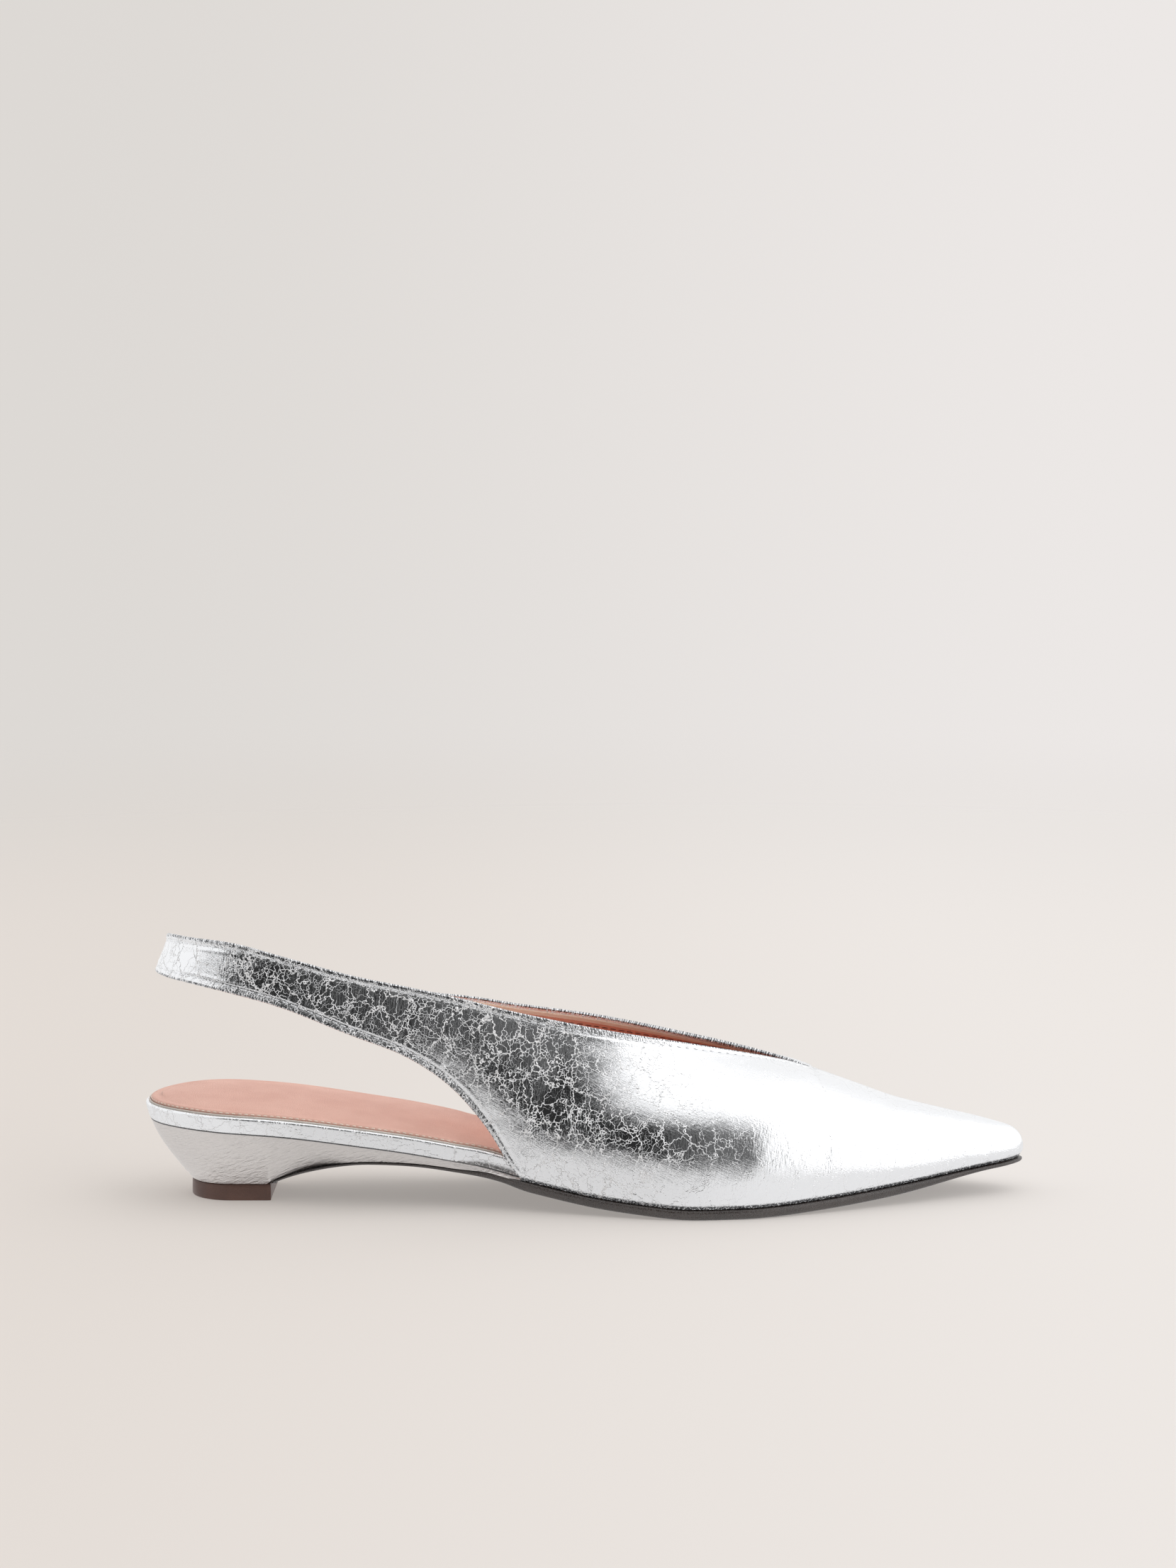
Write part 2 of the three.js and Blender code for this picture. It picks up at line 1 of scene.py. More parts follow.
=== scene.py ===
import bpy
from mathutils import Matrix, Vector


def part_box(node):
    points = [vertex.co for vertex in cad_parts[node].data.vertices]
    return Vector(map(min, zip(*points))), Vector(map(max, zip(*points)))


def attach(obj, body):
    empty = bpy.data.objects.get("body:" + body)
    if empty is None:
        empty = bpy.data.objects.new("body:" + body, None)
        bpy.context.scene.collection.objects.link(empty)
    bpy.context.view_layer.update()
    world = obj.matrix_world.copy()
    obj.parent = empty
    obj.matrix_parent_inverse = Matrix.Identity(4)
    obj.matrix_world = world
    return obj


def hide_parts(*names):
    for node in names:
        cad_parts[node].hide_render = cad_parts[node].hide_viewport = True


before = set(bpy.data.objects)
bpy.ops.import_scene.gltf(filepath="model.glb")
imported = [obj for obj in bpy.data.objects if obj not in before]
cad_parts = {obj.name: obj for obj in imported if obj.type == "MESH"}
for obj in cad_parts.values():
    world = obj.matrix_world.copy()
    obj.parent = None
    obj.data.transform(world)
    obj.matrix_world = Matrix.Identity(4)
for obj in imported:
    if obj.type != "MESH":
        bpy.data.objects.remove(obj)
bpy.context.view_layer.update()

# Dresses a silver pointed toe slingback. Sizes are in millimetres until a mesh is made.
# Places along the shoe count from the back of the footbed, and x grows towards the toe.

import bisect
import math

import bpy
import numpy as np
from mathutils import Vector
from mathutils.kdtree import KDTree

mm = 0.001
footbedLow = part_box("footbed")[0]
liftLow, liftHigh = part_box("top_lift")
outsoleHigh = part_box("outsole")[1]
backX = footbedLow[0] / mm    # x of the footbed's back
middleY = (liftLow[1] + liftHigh[1]) / 2 / mm    # y of the heel's middle
length = (outsoleHigh[0] - footbedLow[0]) / mm
print("frame loaded, shoe length", round(length, 1), "mm")

# The solids' own sizes, so that each dressed piece lies on its solid
shoe = {
    "ballWidth": 76,
    "gap": 0.3,
    "soleThick": 3,
    "soleTipThin": 0.42,         # share of the sole's thickness left at the tip
    "soleTipPlaces": (0.83, 0.975),   # shares of the length between which it thins
    "forepartBlend": 11,         # how soon the waist's underside meets the forepart's
    "archBlend": 14,             # the same for the sole's top
    "seatRise": 20.7,
    "toeSpring": 7.5,
    "archHeight": 12.9,
    "heelEndRound": 29,
    "toeEndRound": 9,
    "wall": 1.5,
    "strapTop": 80.8,
    "strapLow": 69,
    "strapRound": 21,
    "strapTopBack": 7.2,
    "strapLowBack": 3.7,
    "strapWidth": 50,
    "innerDrop": 9.4,
    "throatHeight": 38.3,
    "noseHeight": 20.6,
}
quarterLanding = 0.429 * length
quarterTop = 0.4776 * length
throat = 0.7552 * length
noseTop = 0.9776 * length
wedgeEnd = 0.403 * length
wedgeStop = quarterLanding + 0.5   # the heel's leather tapers off under the quarter's corner
heelBaseBack = 0.0515 * length
heelBaseLength = 0.0933 * length

# Plan of the sole: half width and swing of its middle, as shares of ballWidth
footprint = {
    "along": (0, 0.12, 0.28, 0.36, 0.46, 0.56, 0.62, 0.67, 0.76, 0.86, 0.94, 1),
    "half": (0.33, 0.352, 0.33, 0.318, 0.356, 0.44, 0.488, 0.496, 0.418, 0.28, 0.154, 0.07),
    "swing": (0, 0, -0.004, -0.014, -0.038, -0.042, -0.02, 0.004, 0.03, 0.046, 0.05, 0.052),
}
# Underside of the footbed: shares of seatRise and toeSpring
seatLine = {
    "along": (0, 0.037, 0.09, 0.164, 0.24, 0.313, 0.388, 0.433, 0.504, 0.567, 0.62,
              0.71, 0.784, 0.873, 0.959, 1),
    "lift": (1, 1.006, 0.983, 0.913, 0.783, 0.64, 0.446, 0.306, 0.13, 0.045, 0, 0, 0, 0, 0, 0),
    "spring": (0, 0, 0, 0, 0, 0, 0, 0, 0, 0, 0, 0.03, 0.18, 0.48, 0.84, 0.96),
}
# The waist: underside, thickness and half width of the sole, and how far the footbed draws in
waist = {
    "along": (0.145, 0.165, 0.185, 0.215, 0.25, 0.275, 0.315, 0.35, 0.385, 0.41, 0.44),
    "arch": (0.4, 0.56, 0.7, 0.87, 0.985, 1, 0.96, 0.875, 0.765, 0.645, 0.45),
    "thick": (0.25, 0.25, 0.25, 0.25, 0.25, 0.26, 0.28, 0.32, 0.35, 0.4, 1),
    "under": (0.165, 0.172, 0.19, 0.23, 0.265, 0.28, 0.286, 0.296, 0.306, 0.318, 0.334),
    "tuck": (0, 0, 0, 0, 0, 0, 0, 0.1, 1, 1, 1),
}
footbedLine = {"along": (0, 0.4, 0.5, 0.6, 1), "full": (1, 1, 0.45, 0, 0)}
# Topline of the outer side, half width of the opening and drop of the inner side
topline = {
    "along": (0.0269, 0.031, 0.04, 0.06, 0.1, 0.164, 0.24, 0.31, 0.37, 0.42, 0.52, 0.64,
              0.72, 0.7552),
    "up": (0.972, 0.988, 1, 1, 0.99, 0.894, 0.765, 0.675, 0.59, 0.51, 0.37, 0.208, 0.082, 0),
    "half": (0.345, 0.35, 0.361, 0.385, 0.43, 0.47, 0.485, 0.49, 0.49, 0.485, 0.43, 0.25,
             0.095, 0),
    "drop": (0, 0.32, 0.54, 0.74, 0.9, 0.97, 1, 0.97, 0.78, 0.64, 0.36, 0.18, 0.07, 0),
}
# Lower edge of the strap and quarter, and how far it has flared out to the plan of the sole
lowEdge = {
    "along": (0.0138, 0.018, 0.028, 0.06, 0.1, 0.164, 0.238, 0.294, 0.33, 0.356, 0.379, 0.397,
              0.412, 0.429),
    "up": (1, 1, 0.997, 0.983, 0.95, 0.874, 0.742, 0.645, 0.55, 0.451, 0.333, 0.222, 0.108, 0),
    "half": (0.36, 0.364, 0.373, 0.4, 0.443, 0.487, 0.503, 0.51, 0.52, 0.52, 0.52, 0.52,
             0.52, 0.52),
    "flare": (0, 0, 0, 0, 0, 0, 0.05, 0.2, 0.36, 0.55, 0.75, 0.9, 0.98, 1),
    "drop": (0, 0.2, 0.44, 0.75, 0.86, 0.8, 0.8, 0.66, 0.5, 0.38, 0.25, 0.14, 0.05, 0),
}
ridge = {"along": (0.7552, 0.81, 0.852, 0.902, 0.944, 0.9776), "up": (1, 0.7, 0.472, 0.284, 0.137, 0)}
spine = {"along": (0, 0.4, 0.6, 0.755, 0.86, 0.978), "swing": (0, -0.008, -0.002, 0.018, 0.036, 0.05)}
# How the leather falls between its edges: lean at the low edge, slope at the top, and their pulls
drape = {
    "along": (0, 0.1, 0.25, 0.35, 0.425, 0.5, 0.6, 0.7, 0.765, 0.9, 1),
    "lean": (-6, -3, 0, 5, 10, 9, 8, 12, 16, 21, 20),
    "lowPull": (0.33, 0.33, 0.33, 0.33, 0.37, 0.48, 0.54, 0.5, 0.45, 0.42, 0.45),
    "slope": (82, 81, 81, 79, 73, 56, 31, 9, 0, 0, 0),
    "topPull": (0.33, 0.33, 0.33, 0.33, 0.34, 0.38, 0.42, 0.41, 0.39, 0.39, 0.45),
}


def mix(a, b, share):
    return a + (b - a) * share


def ease(value, start, end):
    share = min(1.0, max(0.0, (value - start) / (end - start)))
    return share * share * (3 - 2 * share)


def column(table, name):
    # a smooth line through one column of a table that never overshoots a row
    at = [share * length for share in table["along"]]
    value = table[name]
    count = len(at)
    rise = [(value[i + 1] - value[i]) / (at[i + 1] - at[i]) for i in range(count - 1)]
    slope = [rise[0]]
    for i in range(1, count - 1):
        before, after = rise[i - 1], rise[i]
        middle = (value[i + 1] - value[i - 1]) / (at[i + 1] - at[i - 1])
        most = 3 * min(abs(before), abs(after))
        flat = before * after <= 0
        slope.append(0 if flat else math.copysign(min(abs(middle), most), middle))
    slope.append(rise[-1])

    def valueAt(place):
        p = min(max(place, at[0]), at[-1])
        k = min(count - 2, max(0, bisect.bisect_right(at, p) - 1))
        span = at[k + 1] - at[k]
        t = (p - at[k]) / span
        t2, t3 = t * t, t * t * t
        return (value[k] * (2 * t3 - 3 * t2 + 1) + slope[k] * span * (t3 - 2 * t2 + t)
                + value[k + 1] * (3 * t2 - 2 * t3) + slope[k + 1] * span * (t3 - t2))

    return valueAt


planHalf, planSwing = column(footprint, "half"), column(footprint, "swing")
seatLift, seatSpring = column(seatLine, "lift"), column(seatLine, "spring")
archShare, waistThick = column(waist, "arch"), column(waist, "thick")
waistUnder, footbedTuck = column(waist, "under"), column(waist, "tuck")
footbedFull = column(footbedLine, "full")
topUp, topHalf, topDrop = (column(topline, name) for name in ("up", "half", "drop"))
lowUp, lowHalf = column(lowEdge, "up"), column(lowEdge, "half")
lowFlare, lowDrop = column(lowEdge, "flare"), column(lowEdge, "drop")
ridgeUp, spineSwing = column(ridge, "up"), column(spine, "swing")
leanAt, slopeAt = column(drape, "lean"), column(drape, "slope")
lowPullAt, topPullAt = column(drape, "lowPull"), column(drape, "topPull")


def seat(place):
    base = shoe["soleThick"] + shoe["gap"]
    return base + shoe["seatRise"] * seatLift(place) + shoe["toeSpring"] * seatSpring(place)


def forepartShare(place):
    return ease(place, wedgeEnd, wedgeEnd + shoe["forepartBlend"])


def soleUnder(place):
    thinFrom, thinTo = shoe["soleTipPlaces"]
    thin = mix(1, shoe["soleTipThin"], ease(place, thinFrom * length, thinTo * length))
    front = seat(place) - shoe["gap"] - shoe["soleThick"] * thin
    return mix(shoe["archHeight"] * archShare(place), front, forepartShare(place))


def soleTop(place):
    thin = soleUnder(place) + shoe["soleThick"] * waistThick(place)
    share = ease(place, wedgeEnd - shoe["archBlend"], wedgeStop + 1)
    return mix(thin, seat(place) - shoe["gap"], share)


def closing(distance, reach):
    # 0 at an end of a plan and 1 from reach on, along a quarter of a circle
    return math.sqrt(max(0.0, 1 - (1 - min(1.0, max(0.0, distance / reach))) ** 2))


def planMiddle(place):
    return shoe["ballWidth"] * planSwing(place)


def planHalfInset(place, inset, start, end):
    half = shoe["ballWidth"] * planHalf(place) - inset
    return half * closing(place - start, shoe["heelEndRound"]) * closing(end - place, shoe["toeEndRound"])


# Meshes

def placeVerts(points):
    # millimetres from the footbed's back to metres in the frame
    return [((x + backX) * mm, (y + middleY) * mm, z * mm) for x, y, z in points]


def linkMesh(name, mesh, material):
    mesh.materials.append(material)
    made = bpy.data.objects.new(name, mesh)
    bpy.context.scene.collection.objects.link(made)
    return made


def makeObject(name, points, faces, material, attributes=None):
    mesh = bpy.data.meshes.new(name)
    mesh.from_pydata(placeVerts(points), [], faces)
    mesh.validate()
    mesh.update()
    for key, values in (attributes or {}).items():
        mesh.attributes.new(key, "FLOAT", "POINT").data.foreach_set("value", values)
    mesh.polygons.foreach_set("use_smooth", [True] * len(mesh.polygons))
    return linkMesh(name, mesh, material)


def turnOut(points, faces):
    # turns every face round if the closed body they make is inside out
    spots = np.asarray(points, float)
    volume = 0.0
    for face in faces:
        a = spots[face[0]]
        for i in range(1, len(face) - 1):
            volume += float(np.dot(a, np.cross(spots[face[i]], spots[face[i + 1]])))
    return faces if volume > 0 else [tuple(reversed(face)) for face in faces]


def unit(vector):
    return vector / max(np.linalg.norm(vector), 1e-9)


def runAlong(path):
    # how far along it each point of a path lies
    return np.concatenate([[0], np.cumsum(np.linalg.norm(np.diff(path, axis=0), axis=1))])


def treeOf(spots):
    tree = KDTree(len(spots))
    for i, spot in enumerate(spots):
        tree.insert(spot, i)
    tree.balance()
    return tree


def surfaceNormals(points, faces):
    normals = np.zeros_like(points)
    for face in faces:
        corners = points[list(face)]
        for i in range(1, len(face) - 1):
            normals[list(face)] += np.cross(corners[i] - corners[0], corners[i + 1] - corners[0])
    return normals / np.maximum(np.linalg.norm(normals, axis=1, keepdims=True), 1e-9)


def thickShell(spots, faces, depths, thicknesses, rimSteps=3, rimBulge=0.35):
    # a closed wall: a given depth behind an open surface, with a rounded rim on its free edges
    normals = surfaceNormals(spots, faces)
    centres = [spots[list(face)].mean(axis=0) for face in faces]
    faceBeside = {}
    for index, face in enumerate(faces):
        for i, a in enumerate(face):
            faceBeside[(a, face[(i + 1) % len(face)])] = index
    outer = spots - normals * depths[:, None]
    inner = outer - normals * thicknesses[:, None]
    free = [(a, b) for (a, b) in faceBeside if (b, a) not in faceBeside]
    outward = {}
    for a, b in free:
        for v in (a, b):
            away = spots[v] - centres[faceBeside[(a, b)]]
            outward[v] = outward.get(v, np.zeros(3)) + away - normals[v] * np.dot(away, normals[v])
    verts = [tuple(p) for p in outer] + [tuple(p) for p in inner]
    count = len(spots)
    source = list(range(count)) * 2
    rim = {}
    for v, away in outward.items():
        away = unit(away)
        half = thicknesses[v] / 2
        middle = (outer[v] + inner[v]) / 2
        chain = [v]
        for k in range(1, rimSteps + 1):
            angle = math.pi * k / (rimSteps + 1)
            spot = middle + normals[v] * math.cos(angle) * half
            chain.append(len(verts))
            verts.append(tuple(spot + away * math.sin(angle) * rimBulge))
            source.append(v)
        chain.append(v + count)
        rim[v] = chain
    made = [tuple(face) for face in faces]
    made += [tuple(v + count for v in reversed(face)) for face in faces]
    for a, b in free:
        for k in range(rimSteps + 1):
            made.append((rim[a][k], rim[a][k + 1], rim[b][k + 1], rim[b][k]))
    return verts, turnOut(verts, made), source


def stackRings(rings, columns, topCrown=None):
    # a closed body from rings of 2n points, ring 0 lowest; point 0 is the back and point n the front
    count = len(rings[0])
    half = count // 2
    verts = [tuple(p) for ring in rings for p in ring]
    faces = []
    for k in range(len(rings) - 1):
        for i in range(count):
            j = (i + 1) % count
            faces.append((k * count + i, k * count + j, (k + 1) * count + j, (k + 1) * count + i))

    # rows across the last or the first ring, which close the body
    def capRows(ringIndex, crown):
        base = ringIndex * count
        rows = []
        for i in range(1, half):
            a, b = Vector(verts[base + i]), Vector(verts[base + count - i])
            row = [base + i]
            for c in range(1, columns):
                share = c / columns
                spot = a.lerp(b, share)
                if crown:
                    spot.z += crown(spot.x, share)
                row.append(len(verts))
                verts.append(tuple(spot))
            row.append(base + count - i)
            rows.append(row)
        made = []
        for c in range(columns):
            made.append((base, rows[0][c], rows[0][c + 1]))
            made.append((base + half, rows[-1][c + 1], rows[-1][c]))
        for rowA, rowB in zip(rows, rows[1:]):
            for c in range(columns):
                made.append((rowA[c], rowB[c], rowB[c + 1], rowA[c + 1]))
        return made

    faces += capRows(len(rings) - 1, topCrown)
    faces += [tuple(reversed(face)) for face in capRows(0, None)]
    return verts, turnOut(verts, faces)


def loop(places, halfAt, middleAt, flatBack=False, flatFront=False):
    # points round a plan: back, outer side, front, inner side; each with its normal in plan
    start, end = places[0], places[-1]
    body = [(p, halfAt(p)) for p in places[1:-1]]
    if flatBack:
        body = [(start, halfAt(start) * share) for share in (0.3, 0.6, 0.9, 0.985)] + body
    if flatFront:
        body = body + [(end, halfAt(end) * share) for share in (0.985, 0.9, 0.6, 0.3)]
    outer = [(p, middleAt(p) - half) for p, half in body]
    inner = [(p, middleAt(p) + half) for p, half in body]
    spots = [(start, middleAt(start))] + outer + [(end, middleAt(end))] + inner[::-1]
    count = len(spots)
    points = []
    for i in range(count):
        before, after = spots[i - 1], spots[(i + 1) % count]
        dx, dy = after[0] - before[0], after[1] - before[1]
        size = math.hypot(dx, dy) or 1.0
        points.append((spots[i][0], spots[i][1], dy / size, -dx / size))
    if points[0][2] > 0:
        points = [(x, y, -nx, -ny) for x, y, nx, ny in points]
    return points


def spread(start, end, steps, startRound=0.0, endRound=0.0, roundSteps=14):
    places = []
    if startRound:
        for i in range(roundSteps):
            places.append(start + startRound * (1 - math.cos(i / roundSteps * math.pi / 2)))
    places += [mix(start + startRound, end - endRound, i / steps) for i in range(steps + 1)]
    if endRound:
        for i in range(1, roundSteps + 1):
            places.append(end - endRound * (1 - math.sin(i / roundSteps * math.pi / 2)))
    return places


def ringAt(outline, inset, heightAt):
    return [(x - nx * inset, y - ny * inset, heightAt(x)) for x, y, nx, ny in outline]


def makeHoop(name, outline, inset, heightAt, radius, material, around=8):
    # a thin round tube that runs once round a plan
    rings = []
    for k in range(around):
        angle = 2 * math.pi * k / around
        away, rise = inset - radius * math.cos(angle), radius * math.sin(angle)
        rings.append(ringAt(outline, away, lambda x, rise=rise: heightAt(x) + rise))
    count = len(outline)
    verts = [spot for ring in rings for spot in ring]
    faces = []
    for k in range(around):
        after = (k + 1) % around
        for i in range(count):
            j = (i + 1) % count
            faces.append((k * count + i, k * count + j, after * count + j, after * count + i))
    return makeObject(name, verts, turnOut(verts, faces), material)


# Node helpers

class Graph:
    # a short way to add shader nodes to one material or world
    def __init__(self, owner):
        owner.use_nodes = True
        self.tree = owner.node_tree
        self.tree.nodes.clear()

    def add(self, kind, inputs=None, **settings):
        made = self.tree.nodes.new(kind)
        for key, value in settings.items():
            setattr(made, key, value)
        for key, value in (inputs or {}).items():
            if isinstance(value, bpy.types.NodeSocket):
                self.tree.links.new(value, made.inputs[key])
            else:
                made.inputs[key].default_value = value
        return made

    def math(self, operation, a, b=0.0, clamp=False):
        return self.add("ShaderNodeMath", {0: a, 1: b}, operation=operation, use_clamp=clamp).outputs[0]

    def plus(self, a, b):
        return self.math("ADD", a, b)

    def times(self, a, b):
        return self.math("MULTIPLY", a, b)

    def most(self, a, b):
        return self.math("MAXIMUM", a, b)

    def ramp(self, value, low, high, toLow=0.0, toHigh=1.0, kind="SMOOTHSTEP"):
        # a step from toLow at low to toHigh at high
        inputs = {"Value": value, "From Min": low, "From Max": high, "To Min": toLow, "To Max": toHigh}
        return self.add("ShaderNodeMapRange", inputs, interpolation_type=kind, clamp=True).outputs["Result"]

    def line(self, *numbers):
        return self.ramp(*numbers, kind="LINEAR")

    def noise(self, vector, scale, detail=2.0, roughness=0.5, output="Fac"):
        inputs = {"Vector": vector, "Scale": scale, "Detail": detail, "Roughness": roughness}
        return self.add("ShaderNodeTexNoise", inputs).outputs[output]

    def veins(self, vector, scale):
        inputs = {"Vector": vector, "Scale": scale}
        return self.add("ShaderNodeTexVoronoi", inputs, feature="DISTANCE_TO_EDGE").outputs["Distance"]

    def place(self):
        return self.add("ShaderNodeTexCoord").outputs["Object"]

    def part(self, vector, axis):
        # one of a vector's three numbers
        return self.add("ShaderNodeSeparateXYZ", {0: vector}).outputs[axis]

    def attribute(self, name):
        return self.add("ShaderNodeAttribute", attribute_name=name).outputs["Fac"]

    def ray(self, kind):
        return self.add("ShaderNodeLightPath").outputs[kind]

    def colour(self, share, first, second):
        inputs = {0: share, 6: first, 7: second}
        return self.add("ShaderNodeMix", inputs, data_type="RGBA", clamp_factor=True).outputs[2]

    def vector(self, operation, a, b=(0, 0, 0), output=0):
        return self.add("ShaderNodeVectorMath", {0: a, 1: b}, operation=operation).outputs[output]

    def scale(self, vector, factor):
        return self.add("ShaderNodeVectorMath", {0: vector, "Scale": factor}, operation="SCALE").outputs[0]

    def bump(self, height, distance):
        inputs = {"Height": height, "Distance": distance, "Strength": 1.0}
        return self.add("ShaderNodeBump", inputs).outputs["Normal"]

    def finish(self, inputs):
        shader = self.add("ShaderNodeBsdfPrincipled", inputs)
        self.add("ShaderNodeOutputMaterial", {"Surface": shader.outputs[0]})


def rgb(red, green, blue):
    # a colour as a picture shows it, 0 to 255, turned into light
    def channel(value):
        share = value / 255
        return share / 12.92 if share <= 0.04045 else ((share + 0.055) / 1.055) ** 2.4

    return (channel(red), channel(green), channel(blue), 1.0)


# Silver crackle leather: all its sizes are in millimetres
silver = {
    "foil": rgb(246, 247, 249),
    "foilWorn": rgb(250, 250, 251),
    "smoothRoughness": 0.08,
    "wornRoughness": 0.36,
    "wornMetal": 0.5,     # a crack shows less foil
    "wander": ((0.09, 3.6), (0.35, 0.35)),   # how often and how far the cracks stray
    "tall": 1.35,         # over 1 the cells stand taller than wide
    "turn": 8,            # degrees by which the cells lean
    "grain": 0.72,        # the cracks run along the edges of grains this large
    # cell size, half the line's width, its height and whiteness, the noise that thins it and its start
    "cracks": (
        {"cell": 8.8, "width": 0.18, "height": 0.17, "white": 1.0, "thinScale": 0.16, "thinFrom": 0.26},
        {"cell": 4.4, "width": 0.13, "height": 0.1, "white": 0.8, "thinScale": 0.2, "thinFrom": 0.36},
        {"cell": 2.3, "width": 0.075, "height": 0.045, "white": 0.5, "thinScale": 0.15, "thinFrom": 0.46},
    ),
    # fine upright wrinkles, sloping scratches and the satin cover's creases: turn and lengths
    "dashes": (4, (0.48, 0.6, 2.6)),
    "streaks": (27, (2.4, 1.0, 0.3)),
    "creases": (-24, (4.0, 2.0, 0.75)),
    "dashHeight": 0.07,
    "streakHeight": 0.05,
    "patchScale": 0.13,      # the wrinkles are weak or strong in patches of this scale
    "patchShares": (0.5, 1.3),
    "swellScale": 0.09,
    "swellHeight": 0.5,
    "scratchRoughness": (-0.03, 0.05),
    "calmPlaces": (0, 48),   # between these, from the shoe's middle, the leather gets smoother
    "calm": 0.22,            # share of the crackle left at the toe
    "hemWidth": 2.0,
    "hemHeight": 0.14,
    "hemWhite": 0.8,
    "fringePlaces": (0.7, 1.4),    # the crumpled line above the sole ends between these heights
    "fringeHeight": 0.5,
    "tickScale": 1.9,
    "paintedCreviceShade": rgb(98, 99, 102),   # painted shade between the crumples of the folded edge and in the crumpled line above the sole
}


def inMillimetres(graph):
    return graph.scale(graph.place(), 1 / mm)


def stray(graph, spot):
    # moves a place by noise, first far and slowly, then little and often
    for often, far in silver["wander"]:
        shift = graph.noise(spot, often, 2.0, 0.55, "Color")
        centred = graph.vector("SUBTRACT", shift, (0.5, 0.5, 0.5))
        spot = graph.vector("ADD", spot, graph.scale(centred, 2 * far))
    return spot


def stretched(graph, spot, turn, lengths):
    # noise drawn out to these lengths, its first direction turned down towards the toe
    inputs = {"Vector": spot, "Rotation": (0, math.radians(turn), 0), "Scale": lengths}
    return graph.add("ShaderNodeMapping", inputs, vector_type="TEXTURE").outputs[0]


def cells(graph, spot, size, feature, output):
    inputs = {"Vector": spot, "Scale": 1 / size}
    return graph.add("ShaderNodeTexVoronoi", inputs, feature=feature).outputs[output]


def grainEdge(graph, spot):
    # how far a spot is from the edge of its grain, and the middles of the grains on both sides of it
    here = cells(graph, spot, silver["grain"], "F1", "Position")
    there = cells(graph, spot, silver["grain"], "F2", "Position")
    middle = graph.vector("MULTIPLY", graph.vector("ADD", here, there), (0.5, 0.5, 0.5))
    across = graph.vector("NORMALIZE", graph.vector("SUBTRACT", there, here))
    far = graph.vector("DOT_PRODUCT", graph.vector("SUBTRACT", middle, spot), across, "Value")
    return far, here, there


def crackLines(graph, spot):
    # height and whiteness of the cracks, which run between grains that lie in different cells
    edgeFar, here, there = grainEdge(graph, spot)
    lengths = (1, 1, silver["tall"])
    here = stretched(graph, stray(graph, here), silver["turn"], lengths)
    there = stretched(graph, stray(graph, there), silver["turn"], lengths)
    height, worn = 0.0, 0.0
    for cracks in silver["cracks"]:
        colours = [cells(graph, middle, cracks["cell"], "F1", "Color") for middle in (here, there)]
        parted = graph.math("GREATER_THAN", graph.vector("DISTANCE", *colours, "Value"), 0.001)
        thin = graph.noise(spot, cracks["thinScale"], 2.0, 0.6)
        width = graph.line(thin, cracks["thinFrom"], cracks["thinFrom"] + 0.25, 0.02, cracks["width"])
        crest = graph.math("SUBTRACT", 1.0, graph.math("DIVIDE", edgeFar, width), clamp=True)
        crest = graph.times(crest, parted)
        strength = graph.line(thin, cracks["thinFrom"], cracks["thinFrom"] + 0.2, 0.15, 1.0)
        height = graph.most(height, graph.times(graph.times(crest, strength), cracks["height"]))
        line = graph.times(graph.ramp(crest, 0.0, 0.45), strength)
        worn = graph.most(worn, graph.times(line, cracks["white"]))
    return height, worn


